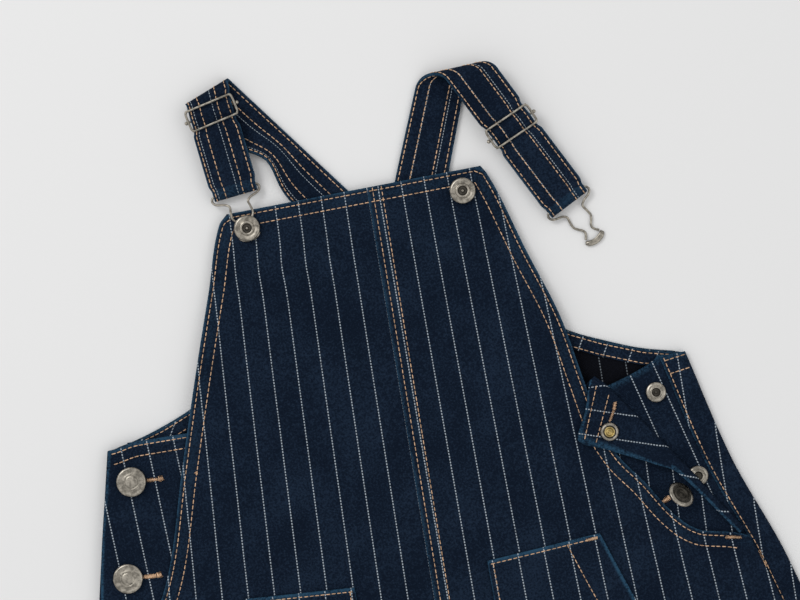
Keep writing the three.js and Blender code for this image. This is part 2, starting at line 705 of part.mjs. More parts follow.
// A button on a post: domed rim, raised ring and a hole with a pip in it.
function button(size, post, postRadius) {
  const r = size / 2;
  return turned([
    [0, 0],
    [postRadius, 0],
    [postRadius, post],
    [r - 0.5, post],
    [r, post + 0.5],
    [r - 0.3, post + 1.1],
    [r - 1.3, post + 1.6],
    [r * 0.58, post + 1.2],
    [r * 0.53, post + 1.9],
    [r * 0.36, post + 1.9],
    [r * 0.33, post + 0.8],
    [r * 0.14, post + 0.8],
    [r * 0.12, post + 1.3],
    [0, post + 1.4],
  ]);
}

// A ring with a sunken middle, for studs and sockets.
function ring(size, height) {
  const r = size / 2;
  return turned([
    [0, 0],
    [r, 0],
    [r, height * 0.4],
    [r * 0.86, height * 0.85],
    [r * 0.6, height],
    [r * 0.42, height * 0.9],
    [r * 0.36, height * 0.35],
    [0, height * 0.35],
  ]);
}

const POST_HEIGHT = 2 * WIRE + 0.6;
for (const spec of BIB_BUTTONS) {
  const z = frontZ(spec.x, spec.y - BIB_TILT * spec.x) + LAYER;
  add(`bib_button_${spec.side}`, button(BIB_BUTTON, POST_HEIGHT, 1.8), "nickel").position.set(spec.x, spec.y, z);
}
for (const spec of SIDE_BUTTONS_LEFT) {
  add(spec.name, button(SIDE_BUTTON, 0.6, 4), "nickel").position.set(spec.x, spec.y, SIDE_Z + LAYER);
}
for (const spec of STUDS) {
  add(spec.name, ring(STUD, 1.6), "nickel").position.set(spec.x, spec.y, UNDERLAY_Z + LAYER);
}

// The upper right button: its cap faces the table under the turned-over cloth, its socket shows.
const turnedClothZ = SIDE_Z + 2 * FLAP_RADIUS;
const cap = turned([[0, 0], [7.2, 0], [SIDE_BUTTON / 2, 0.5], [SIDE_BUTTON / 2, 1.0], [0, 1.0]]);
const capMesh = add("side_button_right_upper", cap, "nickel");
capMesh.position.set(TURNED_BUTTON.x, TURNED_BUTTON.y, turnedClothZ - GAP - 1.0);
const socket = add("side_socket_right_upper", ring(SOCKET, 2.0), "brass");
socket.position.set(TURNED_BUTTON.x, TURNED_BUTTON.y, turnedClothZ + LAYER);

// The lower right button stands tilted where the cloth twists.
const tilted = add("side_button_right_lower", button(TILTED_BUTTON.size, 0.8, 3), "nickel");
const buttonTilt = THREE.MathUtils.degToRad(TILTED_BUTTON.tilt);
const buttonTurn = THREE.MathUtils.degToRad(TILTED_BUTTON.turn);
tilted.rotation.set(0, buttonTilt, buttonTurn, "ZYX");
const tiltedRise = (TILTED_BUTTON.size / 2) * Math.sin(buttonTilt);
tilted.position.set(TILTED_BUTTON.x, TILTED_BUTTON.y, SIDE_Z + CLOTH + tiltedRise + 0.6);

// ---- Placed on the origin -----------------------------------------------------------------------

const box = new THREE.Box3().setFromObject(garment);
const middle = box.getCenter(new THREE.Vector3());
garment.position.set(-middle.x, -middle.y, -box.min.z);

export default garment;
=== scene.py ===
"""Overall skirt in pinstriped denim, laid out flat with its right side opening undone.

Lengths in the tables and in the shape functions are millimetres of the garment's own layout: the
centre seam runs along Y, the top of the bib is at Y = 0 and the table is at Z = 0. Meshes are in
metres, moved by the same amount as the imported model.
"""

import math

import bpy
import numpy as np
from mathutils import Matrix, Vector


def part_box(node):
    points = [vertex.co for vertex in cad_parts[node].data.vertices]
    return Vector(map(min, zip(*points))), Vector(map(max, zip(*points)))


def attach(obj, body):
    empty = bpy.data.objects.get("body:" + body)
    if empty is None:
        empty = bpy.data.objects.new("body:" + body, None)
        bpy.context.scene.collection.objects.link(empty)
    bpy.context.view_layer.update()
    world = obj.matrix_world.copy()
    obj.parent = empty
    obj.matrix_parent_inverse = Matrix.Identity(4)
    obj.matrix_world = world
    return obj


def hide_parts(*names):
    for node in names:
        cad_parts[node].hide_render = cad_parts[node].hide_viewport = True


bl_info = {
    "name": "Overall skirt",
    "version": (1, 0, 0),
    "blender": (4, 5, 0),
    "location": "3D View > Sidebar > Overall skirt",
    "description": "Builds a pinstriped denim overall skirt, laid out flat",
    "category": "Add Mesh",
}

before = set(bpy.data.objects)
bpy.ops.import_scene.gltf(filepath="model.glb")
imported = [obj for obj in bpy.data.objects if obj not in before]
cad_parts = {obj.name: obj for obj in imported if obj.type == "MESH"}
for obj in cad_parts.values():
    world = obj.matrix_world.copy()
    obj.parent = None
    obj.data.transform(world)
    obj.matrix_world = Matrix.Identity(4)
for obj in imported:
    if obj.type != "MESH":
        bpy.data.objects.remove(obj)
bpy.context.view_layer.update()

MM = 0.001
HEM_Y = -500.0
OUTLINE_HEM_LEFT = -243.0
_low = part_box("back_panel")[0]
SHIFT = np.array([_low.x / MM - OUTLINE_HEM_LEFT, _low.y / MM - HEM_Y, 0.0])

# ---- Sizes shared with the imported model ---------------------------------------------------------

CLOTH = 1.2
GAP = 0.3
BAND = 1.0
LAYER = CLOTH + GAP
BIB_TILT = 0.025
BAND_Z = LAYER
UNDERLAY_Z = BAND_Z + BAND + GAP
SIDE_Z = UNDERLAY_Z + LAYER
FRONT_Z = SIDE_Z + LAYER
BIB_TOP_Z = 2.2
WRAP_WIDTH = 15.0
WRAP_RADIUS = UNDERLAY_Z / 2
WRAP_GAP = 0.8
STRAP = 1.8
STRAP_HALF = 13.3
STRAP_PINCH = 12.2
LOOP_RADIUS = 2.2
LET_IN_Y = -20.0
WIRE = 0.65
SLIDER_HALF = 5.7
SLIDER_RAIL = 13.7
SLIDER_BUMP = 2.2

FRONT_EDGE = {
    1: [
        (0, 64), (-5, 67), (-50, 81.5), (-90, 94.5), (-125, 101), (-155, 107), (-170, 113.5),
        (-185, 124.5), (-208, 140), (-217, 151), (-221, 168), (-224, 176), (-245, 184), (HEM_Y, 248),
    ],
    -1: [
        (0, -79), (-5, -84), (-42, -96), (-105, -116), (-142, -127.5), (-186, -140.5), (-208, -150),
        (-222, -160), (-229, -170), (-233, -179), (-250, -184), (HEM_Y, -229),
    ],
}
OUTLINE = {
    1: [(-118.5, 159.5), (-180, 175), (-240, 197), (HEM_Y, 262)],
    -1: [(-121, -166), (-200, -183.5), (HEM_Y, OUTLINE_HEM_LEFT)],
}
BACK_TOP = [
    (-166, -121), (-150, -117.5), (-134, -112.5), (-116, -105), (-85, -86), (-55, -55), (-38, -30),
    (-31, -20.4), (5, -20.4), (40, -20.4), (47, -32), (62, -58), (80, -82), (97, -96),
    (115, -104.5), (137, -113), (159.5, -118.5),
]
SIDE_EDGE_LEFT = [(-120, -165), (-200, -182), (-222, -184), (-246, -175)]
POCKETS = {
    "pocket_right": {
        "side": 1, "inner": (32, -214.5), "outer": (96, -209.5),
        "edge": [(-210, 96), (-250, 110), (-292, 128), (-338, 133), (-350, 124)],
    },
    "pocket_left": {
        "side": -1, "inner": (-42.5, -217), "outer": (-103, -213.5),
        "edge": [(-214, -103), (-254, -117), (-296, -134), (-342, -139), (-354, -130)],
    },
}
POCKET_FOOT = 12.0

# Soft folds of the skirt: x at the hem, lean towards the side, height, width.
HEM_FOLDS = [(-160, 40, 4.0, 24), (-62, 16, 3.0, 20), (70, 20, 4.5, 26), (172, 45, 3.2, 22)]
FOLD_START_Y = -270.0

# Creases across the bib and skirt front: both ends, height and width.
CREASES = [
    ((-70, -28), (-38, -40), 0.9, 6),
    ((-62, -50), (-25, -58), 0.5, 8),
    ((58, -28), (30, -44), 0.6, 7),
    ((84, -96), (52, -128), 0.9, 9),
    ((-104, -110), (-62, -150), 0.8, 10),
    ((98, -176), (58, -196), 1.0, 9),
    ((-122, -176), (-80, -200), 0.9, 10),
    ((20, -90), (34, -170), 0.5, 9),
    ((-30, -120), (-22, -200), 0.5, 10),
    ((150, -236), (118, -262), 1.3, 9),
    ((132, -226), (100, -240), 0.9, 8),
    ((-150, -240), (-116, -262), 1.1, 9),
]

FLAP_START = np.array([106.0, -124.5])
FLAP_ANGLE = math.radians(-54.7)
FLAP_RADIUS = 2.3
FLAP_REACH = 30.0
FLAP_BACK = [
    (0, 2.2), (10, 16), (19, 30), (32, 23), (44, 16.5), (56, 10), (70, 3.5), (96, 2.6), (118, 2.6),
]
FLAP_LIFT = {"along": 80.0, "reach": 16.0, "inside": 9.0, "height": 2.6}

STRAPS = {
    "left": {
        "base": (-28, 1), "rise_angle": 127.5, "fall_angle": -83.1, "rise": 79.0, "radius": 3.4,
        "slide": 0.0, "fall": 66.8, "slider": 47.5, "tilt": -6.5, "base_half": 13.3, "curl": 8.0,
        "settle": lambda t: 1 - (1 - t) ** 2, "stripes": (0.12, 0.45),
    },
    "right": {
        "base": (31.5, 2), "rise_angle": 69.1, "fall_angle": -62.1, "rise": 52.5, "radius": 5.0,
        "slide": 10.0, "fall": 107.5, "slider": 54.0, "tilt": 3.2, "base_half": 14.2, "curl": 0.0,
        "settle": lambda t: t**2, "stripes": (0.29, 0.46),
    },
}
STRAP_ROWS = (0.06, 0.28, 0.69, 0.92)

HOOK_WIRE = [
    (21.0, 4.7), (19.6, 3.4), (17.8, 2.5), (16.0, 2.8), (13.8, 4.6), (11.4, 6.0), (8.0, 5.8), (4.8, 5.4),
    (2.9, 7.6), (2.0, 10.4), (1.2, 12.4), (-0.6, 13.7), (-2.4, 13.3),
    (-LOOP_RADIUS - STRAP / 2, 11.8), (-LOOP_RADIUS - STRAP / 2, 6),
]
PLATE = {"from": 21.7, "notch": 23.2, "to": 26.4, "half": 6.3, "thickness": 1.3}

BIB_BUTTON = 14.5
STUD = 11.3
SOCKET = 10.3
BIB_BUTTONS = {"bib_button_left": (-69, -11.5), "bib_button_right": (52, -10.5)}
SIDE_BUTTONS = {"side_button_left_upper": (-155, -139.5), "side_button_left_lower": (-165.5, -192)}
STUDS = {"stud_right_upper": (139.5, -138), "stud_right_lower": (155, -187.5)}
TURNED_BUTTON = (110, -155)
TILTED_BUTTON = {"x": 142.5, "y": -196, "size": 15.5, "tilt": 45, "turn": 43}


# ---- Properties ---------------------------------------------------------------------------------


def colour(name, description, default):
    return bpy.props.FloatVectorProperty(
        name=name, description=description, default=default, subtype="COLOR", size=3, min=0, max=1
    )


class SkirtCut(bpy.types.PropertyGroup):
    """Sizes that a maker would change without drawing a new pattern."""

    stripe_top: bpy.props.FloatProperty(
        name="Stripe spacing at the bib",
        description="Distance between pinstripes at the top of the bib",
        default=0.0131,
        unit="LENGTH",
    )
    stripe_spread: bpy.props.FloatProperty(
        name="Stripe spread",
        description="Growth of the spacing for each metre down the skirt",
        default=0.0074,
    )
    stitch: bpy.props.FloatProperty(
        name="Stitch length", description="Length of one topstitch", default=0.0024, unit="LENGTH"
    )
    stitch_gap: bpy.props.FloatProperty(
        name="Stitch gap", description="Space between two topstitches", default=0.0007, unit="LENGTH"
    )
    thread: bpy.props.FloatProperty(
        name="Thread", description="Width of the topstitching thread", default=0.00055, unit="LENGTH"
    )
    row_near: bpy.props.FloatProperty(
        name="First row", description="Edge to the first row of topstitching", default=0.0023, unit="LENGTH"
    )
    row_far: bpy.props.FloatProperty(
        name="Second row", description="Edge to the second row of topstitching", default=0.0083, unit="LENGTH"
    )


class SkirtFinish(bpy.types.PropertyGroup):
    """Colours of the cloth, thread, metal and stage."""

    indigo: colour("Indigo", "Ground colour of the denim", (0.0036, 0.0078, 0.0175))
    indigo_light: colour("Light indigo", "Paler blotches of the denim", (0.0110, 0.0215, 0.0420))
    worn: colour("Worn edge", "Denim where its edges have worn", (0.022, 0.066, 0.118))
    inside: colour("Inside", "Wrong side of the denim", (0.0028, 0.0032, 0.0052))
    pinstripe: colour("Pinstripe", "Dotted pinstripe", (0.42, 0.48, 0.53))
    thread: colour("Thread", "Tan topstitching", (0.50, 0.315, 0.185))
    nickel: colour("Nickel", "Antique nickel", (0.44, 0.405, 0.345))
    brass: colour("Brass", "Bright brass", (0.62, 0.48, 0.20))
    floor: colour("Floor", "Pale plain surface", (0.80, 0.80, 0.80))


# ---- Curves and surfaces ------------------------------------------------------------------------


def smooth(t):
    t = np.clip(t, 0.0, 1.0)
    return t * t * (3 - 2 * t)


def mix(a, b, t):
    return a + (b - a) * t


def along(table, at):
    """Smooth value of a two-column table: a cubic between its rows that never overshoots."""
    rows = np.array(sorted(table), float)
    x, y = rows[:, 0], rows[:, 1]
    step = np.diff(x)
    slope = np.diff(y) / step
    tangent = np.empty(len(x))
    tangent[0], tangent[-1] = slope[0], slope[-1]
    before, after = slope[:-1], slope[1:]
    total = np.where(before + after == 0, 1.0, before + after)
    tangent[1:-1] = np.where(before * after <= 0, 0.0, 2 * before * after / total)
    at = np.clip(np.asarray(at, float), x[0], x[-1])
    i = np.clip(np.searchsorted(x, at) - 1, 0, len(step) - 1)
    t = (at - x[i]) / step[i]
    value = (2 * t**3 - 3 * t**2 + 1) * y[i] + (3 * t**2 - 2 * t**3) * y[i + 1]
    return value + step[i] * ((t**3 - 2 * t**2 + t) * tangent[i] + (t**3 - t**2) * tangent[i + 1])


def distance_to(path, x, y):
    """Distance from points to a polyline, and how far along it the nearest place lies."""
    points = np.stack([np.ravel(x), np.ravel(y)], 1)
    a, b = path[:-1], path[1:]
    d = b - a
    length = np.linalg.norm(d, axis=1)
    start = np.concatenate([[0], np.cumsum(length)[:-1]])
    best = np.full(len(points), 1e9)
    where = np.zeros(len(points))
    for i in range(len(a)):
        t = np.clip((points - a[i]) @ d[i] / length[i] ** 2, 0, 1)
        gap = np.linalg.norm(points - (a[i] + t[:, None] * d[i]), axis=1)
        near = gap < best
        best = np.where(near, gap, best)
        where = np.where(near, start[i] + t * length[i], where)
    return best.reshape(np.shape(x)), where.reshape(np.shape(x))


def offset_path(path, distance):
    """The path moved to its right by a distance, without the loops that tight corners would give."""
    tangent = np.gradient(path, axis=0)
    tangent /= np.linalg.norm(tangent, axis=1)[:, None]
    moved = path + distance * np.stack([tangent[:, 1], -tangent[:, 0]], 1)
    gap = distance_to(path, moved[:, 0], moved[:, 1])[0]
    return moved[gap > abs(distance) - 0.25]


def front_border(side):
    """Finished edge of a front half from the centre seam along the bib's top, its side and its scoop."""
    corner = 3.0
    end = -223.5 if side > 0 else -232.5
    top_x = float(along(FRONT_EDGE[side], 0))
    top = [(x, BIB_TILT * x) for x in np.linspace(0, top_x - side * corner, 40)]
    levels = np.concatenate([np.linspace(-corner, -196, 90), np.linspace(-197, end, 60)])
    down = []
    for y in levels:
        tilt = BIB_TILT * top_x * smooth((y + 100) / 100)
        down.append((float(along(FRONT_EDGE[side], y)), y + tilt))
    return np.array(top + down)


BORDER = {side: front_border(side) for side in (-1, 1)}


def undulation(x, y):
    """Slow rise and fall that every layer shares, never below zero."""
    return 0.35 * (1 + np.sin(x / 23.0 + 1.7 * np.sin(y / 41.0)) * np.sin(y / 29.0 + 1.1 * np.sin(x / 53.0)))


def crease_rise(x, y):
    rise = np.zeros(np.shape(x))
    for start, end, height, width in CREASES:
        a, b = np.array(start, float), np.array(end, float)
        d = b - a
        t = ((x - a[0]) * d[0] + (y - a[1]) * d[1]) / (d @ d)
        off = ((x - a[0]) * -d[1] + (y - a[1]) * d[0]) / np.linalg.norm(d)
        off = off - 2.5 * np.sin(t * 3.0)
        fade = smooth((t + 0.25) / 0.5) * smooth((1.25 - t) / 0.5)
        rise = rise + height * fade * np.exp(-((off / width) ** 2))
    return rise


def front_base(x, y):
    """Underside of the front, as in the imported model."""
    x, y = np.asarray(x, float), np.asarray(y, float)
    edge = np.where(x > 0, along(FRONT_EDGE[1], y), -along(FRONT_EDGE[-1], y))
    seam = (FRONT_Z - SIDE_Z) * smooth((np.abs(x) - edge + 30) / 24) * smooth((-y - 252) / 24)
    z = BIB_TOP_Z + 0.7 * smooth(-y / 20) + (FRONT_Z - BIB_TOP_Z - 0.7) * smooth((-y - 20) / 85) - seam
    down = np.clip((y - FOLD_START_Y) / (HEM_Y - FOLD_START_Y), 0, 1)
    for fold_x, lean, height, width in HEM_FOLDS:
        off = (x - fold_x + np.sign(fold_x) * lean * (1 - down)) / width
        z = z + height * smooth(down) * np.exp(-off * off)
    return z


def hem_relief(edge_gap, where):
    """Raised double edge with its two rows of stitching drawn in and the puckers between them."""
    doubled = 0.45 * (1 - smooth((edge_gap - 8.6) / 1.4))
    drawn = sum(0.32 * np.exp(-(((edge_gap - row) / 0.7) ** 2)) for row in (2.3, 8.3))
    pucker = 0.2 * np.sin(where / 1.15 + 1.6 * np.sin(where / 6.1)) * np.exp(-(((edge_gap - 5.2) / 2.6) ** 2))
    return doubled - drawn + pucker


def front_surface(x, y):
    """Middle of the front's cloth, and its distance from the finished edge."""
    x, y = np.asarray(x, float), np.asarray(y, float)
    gap, where = np.full(x.shape, 99.0), np.zeros(x.shape)
    for side in (-1, 1):
        on = (np.sign(x) == side) | (x == 0)
        if on.any():
            gap[on], where[on] = distance_to(BORDER[side], x[on], y[on])
    level = y - BIB_TILT * x * smooth((y + 100) / 100)
    z = front_base(x, level) + CLOTH / 2 + undulation(x, y) + crease_rise(x, y) * smooth(gap / 12)
    z = z + hem_relief(gap, where)
    lap = 0.75 * smooth(x / 0.8) * (1 - smooth((x - 9) / 2.5))
    drawn = sum(0.35 * np.exp(-(((x - row) / 0.7) ** 2)) for row in (3.0, 8.0))
    pucker = 0.22 * np.sin(y / 1.2 + 2 * np.sin(y / 7)) * np.exp(-(((x - 5) / 3.5) ** 2))
    return z + (lap - drawn + pucker) * smooth((-level - 1) / 4), gap


def stripe_count(x, y, side):
    """Pinstripe number at a place on the front: the stripes fan out down the skirt."""
    cut = bpy.context.scene.skirt_cut
    spacing = (cut.stripe_top + cut.stripe_spread * (-25 - y) * MM) / MM
    wobble = 0.06 * np.exp(-(((x + 55) / 30) ** 2) - (((y + 36) / 10) ** 2))
    return x / spacing - (0.48 if side > 0 else 0.0) + wobble


# ---- Mesh makers --------------------------------------------------------------------------------


def keep_piece(obj, nodes):
    """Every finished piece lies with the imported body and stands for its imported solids."""
    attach(obj, "root")
    if nodes:
        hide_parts(*nodes)
    return obj


def mesh_object(name, points, faces, materials, uv=None, wear=None, slots=None):
    mesh = bpy.data.meshes.new(name)
    mesh.from_pydata(((np.asarray(points) + SHIFT) * MM).tolist(), [], faces)
    for material in materials:
        mesh.materials.append(material)
    mesh.shade_smooth()
    if slots is not None:
        mesh.polygons.foreach_set("material_index", slots)
    if uv is not None:
        corner = np.empty(len(mesh.loops), np.int32)
        mesh.loops.foreach_get("vertex_index", corner)
        layer = mesh.uv_layers.new(name="weave")
        layer.data.foreach_set("uv", np.asarray(uv, np.float32)[corner].ravel())
    if wear is not None:
        mesh.attributes.new("wear", "FLOAT", "POINT").data.foreach_set("value", np.asarray(wear, np.float32))
    mesh.validate()
    mesh.update()
    obj = bpy.data.objects.new(name, mesh)
    bpy.context.scene.collection.objects.link(obj)
    return obj


def cloth(name, grid, thickness, uv, wear, outside, inside):
    """Closed wall of cloth on a grid of middle points, its two faces in their own finishes."""
    rows, columns = grid.shape[:2]
    down = np.gradient(grid, axis=0)
    across = np.gradient(grid, axis=1)
    normal = np.cross(across, down)
    normal /= np.linalg.norm(normal, axis=2)[:, :, None] + 1e-12
    if normal[rows // 8, columns // 2, 2] < 0:
        normal = -normal
    half = normal * thickness / 2
    points = np.concatenate([(grid + half).reshape(-1, 3), (grid - half).reshape(-1, 3)])
    index = np.arange(rows * columns).reshape(rows, columns)
    under = index + rows * columns

    def quads(a, b, c, d):
        return np.stack([a.ravel(), b.ravel(), c.ravel(), d.ravel()], 1)

    top = quads(index[:-1, :-1], index[:-1, 1:], index[1:, 1:], index[1:, :-1])
    low = quads(under[:-1, :-1], under[1:, :-1], under[1:, 1:], under[:-1, 1:])
    sides = [
        quads(index[:-1, 0], index[1:, 0], under[1:, 0], under[:-1, 0]),
        quads(index[1:, -1], index[:-1, -1], under[:-1, -1], under[1:, -1]),
        quads(index[0, 1:], index[0, :-1], under[0, :-1], under[0, 1:]),
        quads(index[-1, :-1], index[-1, 1:], under[-1, 1:], under[-1, :-1]),
    ]
    a, b, d = points[top[0][0]], points[top[0][1]], points[top[0][3]]
    outwards = np.cross(b - a, d - a) @ normal.reshape(-1, 3)[top[0][0]] > 0
    faces = np.concatenate([top, low, *sides])
    if not outwards:
        faces = faces[:, ::-1]
    slots = np.zeros(len(faces), np.int32)
    slots[len(top) : len(top) + len(low)] = 1
    both_uv = np.concatenate([uv.reshape(-1, 2)] * 2)
    both_wear = np.concatenate([wear.ravel()] * 2)
    return mesh_object(name, points, faces.tolist(), [outside, inside], both_uv, both_wear, slots)


def cloth_piece(name, node, grid, uv, wear, inside="denim_inside"):
    """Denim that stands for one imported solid."""
    piece = cloth(name, grid, CLOTH, uv, wear, finish_of("denim"), finish_of(inside))
    keep_piece(piece, [node])
    return piece


def level_row(path):
    """Stitch row on cloth that lies level: its path and an upright normal at each point."""
    return path, np.tile([0, 0, 1.0], (len(path), 1))


def tube(name, points, radius, material, closed=False, sides=12):
    """Round wire along a smooth curve through points."""
    points = np.asarray(points, float)
    path = spline(points, 10, closed)
    tangent = np.roll(path, -1, 0) - np.roll(path, 1, 0) if closed else np.gradient(path, axis=0)
    tangent /= np.linalg.norm(tangent, axis=1)[:, None]
    up = np.array([0, 0, 1.0])
    side = np.cross(tangent, up)
    side /= np.linalg.norm(side, axis=1)[:, None]
    over = np.cross(side, tangent)
    turn = np.linspace(0, 2 * math.pi, sides, endpoint=False)
    cosine, sine = np.cos(turn)[:, None], np.sin(turn)[:, None]
    rings = path[:, None] + radius * (cosine * side[:, None] + sine * over[:, None])
    count = len(path)
    faces = []
    for i in range(count if closed else count - 1):
        here, there = i * sides, (i + 1) % count * sides
        for k in range(sides):
            n = (k + 1) % sides
            faces.append((here + k, here + n, there + n, there + k))
    if not closed:
        faces.append(tuple(range(sides))[::-1])
        faces.append(tuple(range((count - 1) * sides, count * sides)))
    faces = [face[::-1] for face in faces]
    return mesh_object(name, rings.reshape(-1, 3), faces, [material])


def spline(points, per_span, closed=False):
    """Points on a Catmull-Rom curve."""
    count = len(points)

    def at(i):
        return points[i % count] if closed else points[min(max(i, 0), count - 1)]

    out = []
    for i in range(count if closed else count - 1):
        a, b, c, d = at(i - 1), at(i), at(i + 1), at(i + 2)
        for t in np.linspace(0, 1, per_span, endpoint=False):
            square = 2 * a - 5 * b + 4 * c - d
            cubic = 3 * b - a - 3 * c + d
            out.append(0.5 * (2 * b + (c - a) * t + square * t**2 + cubic * t**3))
    if not closed:
        out.append(points[-1])
    return np.array(out)


def turned(name, profile, place, material, segments=72):
    """Solid turned about its own Z from (radius, height) points, then placed by a matrix."""
    profile = np.array(profile, float)
    points, rings = [(0, 0, profile[0][1])], []
    angles = np.linspace(0, 2 * math.pi, segments, endpoint=False)
    for r, z in profile[1:-1]:
        rings.append(len(points))
        points += [(r * math.cos(a), r * math.sin(a), z) for a in angles]
    points.append((0, 0, profile[-1][1]))
    last = len(points) - 1
    faces = []
    for k in range(segments):
        n = (k + 1) % segments
        faces.append((0, rings[0] + n, rings[0] + k))
        faces.append((last, rings[-1] + k, rings[-1] + n))
        for a, b in zip(rings, rings[1:]):
            faces.append((a + k, a + n, b + n, b + k))
    placed = [tuple(place @ Vector(p)) for p in points]
    obj = mesh_object(name, placed, faces, [material])
    bevel = obj.modifiers.new("soft edges", "BEVEL")
    bevel.width = 0.12 * MM
    bevel.segments = 2
    bevel.angle_limit = math.radians(25)
    return obj


def stitch_row(path, normals, rng, length=None, gap=None, width=None):
    """Boxes with rounded backs along a 3-D path: one for each stitch."""
    cut = bpy.context.scene.skirt_cut
    length = length or cut.stitch / MM
    gap = gap or cut.stitch_gap / MM
    width = width or cut.thread / MM
    path, normals = np.asarray(path, float), np.asarray(normals, float)
    run = np.concatenate([[0], np.cumsum(np.linalg.norm(np.diff(path, axis=0), axis=1))])
    points, faces = [], []
    start = 0.4
    while start + length < run[-1]:
        base = len(points)
        for t, swell, rise in ((0, 0.45, 0.0), (0.2, 1.0, 0.30), (0.8, 1.0, 0.30), (1, 0.45, 0.0)):
            s = start + t * length
            p = np.array([np.interp(s, run, path[:, k]) for k in range(3)])
            q = np.array([np.interp(min(s + 0.5, run[-1]), run, path[:, k]) for k in range(3)])
            if s + 0.5 > run[-1]:
                q = p + (p - np.array([np.interp(s - 0.5, run, path[:, k]) for k in range(3)]))
            n = np.array([np.interp(s, run, normals[:, k]) for k in range(3)])
            side = np.cross(q - p, n)
            side /= np.linalg.norm(side) + 1e-12
            for w, h in ((-0.5, -0.15), (-0.36, 0.6), (0, 1.0), (0.36, 0.6), (0.5, -0.15)):
                points.append(p + side * w * width * swell + n * (rise * h + 0.02))
        for i in range(3):
            for k in range(4):
                a = base + i * 5 + k
                faces.append((a, a + 5, a + 6, a + 1))
            faces.append((base + i * 5, base + i * 5 + 4, base + i * 5 + 9, base + i * 5 + 5))
        faces.append((base, base + 1, base + 2, base + 3, base + 4))
        faces.append((base + 19, base + 18, base + 17, base + 16, base + 15))
        start += (length + gap) * rng.uniform(0.93, 1.07)
    return points, faces


def stitched(name, rows, material, seed):
    """One joined mesh of stitch rows. Each row is (path, normals) with optional stitch sizes."""
    rng = np.random.default_rng(seed)
    points, faces = [], []
    for row in rows:
        more, more_faces = stitch_row(row[0], row[1], rng, *row[2:])
        faces += [tuple(i + len(points) for i in face) for face in more_faces]
        points += more
    obj = mesh_object(name, np.array(points), faces, [material])
    return keep_piece(obj, [])


def bartack(a, b, z, width=2.2):
    """Dense zigzag from a to b."""
    a, b = np.array(a, float), np.array(b, float)
    d = (b - a) / np.linalg.norm(b - a)
    n = np.array([-d[1], d[0]])
    count = int(np.linalg.norm(b - a) / 0.42)
    flat = [a + (b - a) * i / count + n * width / 2 * (1 if i % 2 else -1) for i in range(count + 1)]
    path = np.array([(p[0], p[1], z(p[0], p[1])) for p in flat])
    return path, np.tile([0, 0, 1.0], (len(path), 1)), width * 1.02, 0.02, 0.6


# ---- Finishes -----------------------------------------------------------------------------------


class Nodes:
    """Short way to lay out a material's nodes."""

    def __init__(self, name):
        self.material = bpy.data.materials.new(name)
        self.material.use_nodes = True
        self.tree = self.material.node_tree
        self.shader = self.tree.nodes["Principled BSDF"]

    def add(self, kind, inputs=(), **settings):
        made = self.tree.nodes.new(kind)
        for key, value in settings.items():
            setattr(made, key, value)
        for key, value in dict(inputs).items():
            if isinstance(value, bpy.types.NodeSocket):
                self.tree.links.new(value, made.inputs[key])
            else:
                made.inputs[key].default_value = value
        return made

    def maths(self, operation, a, b=0.5, c=0.5):
        return self.add("ShaderNodeMath", {0: a, 1: b, 2: c}, operation=operation).outputs[0]

    def ramp(self, value, low, high):
        limits = {0: value, 1: low, 2: high, 3: 0.0, 4: 1.0}
        return self.add("ShaderNodeMapRange", limits, interpolation_type="SMOOTHSTEP").outputs[0]

    def weigh(self, a, share_a, b, share_b):
        return self.maths("ADD", self.maths("MULTIPLY", a, share_a), self.maths("MULTIPLY", b, share_b))

    def noise(self, place, scale, detail, roughness=0.5):
        inputs = {"Vector": place, "Scale": scale, "Detail": detail, "Roughness": roughness}
        return self.add("ShaderNodeTexNoise", inputs).outputs["Fac"]

    def blend(self, factor, a, b):
        made = self.add("ShaderNodeMix", data_type="RGBA")
        for socket, value in ((made.inputs[0], factor), (made.inputs[6], a), (made.inputs[7], b)):
            if isinstance(value, bpy.types.NodeSocket):
                self.tree.links.new(value, socket)
            else:
                socket.default_value = (*value, 1) if hasattr(value, "__len__") else value
        return made.outputs[2]

    def join(self, socket, name):
        self.tree.links.new(socket, self.shader.inputs[name])


DOT_SPACING = 0.0016


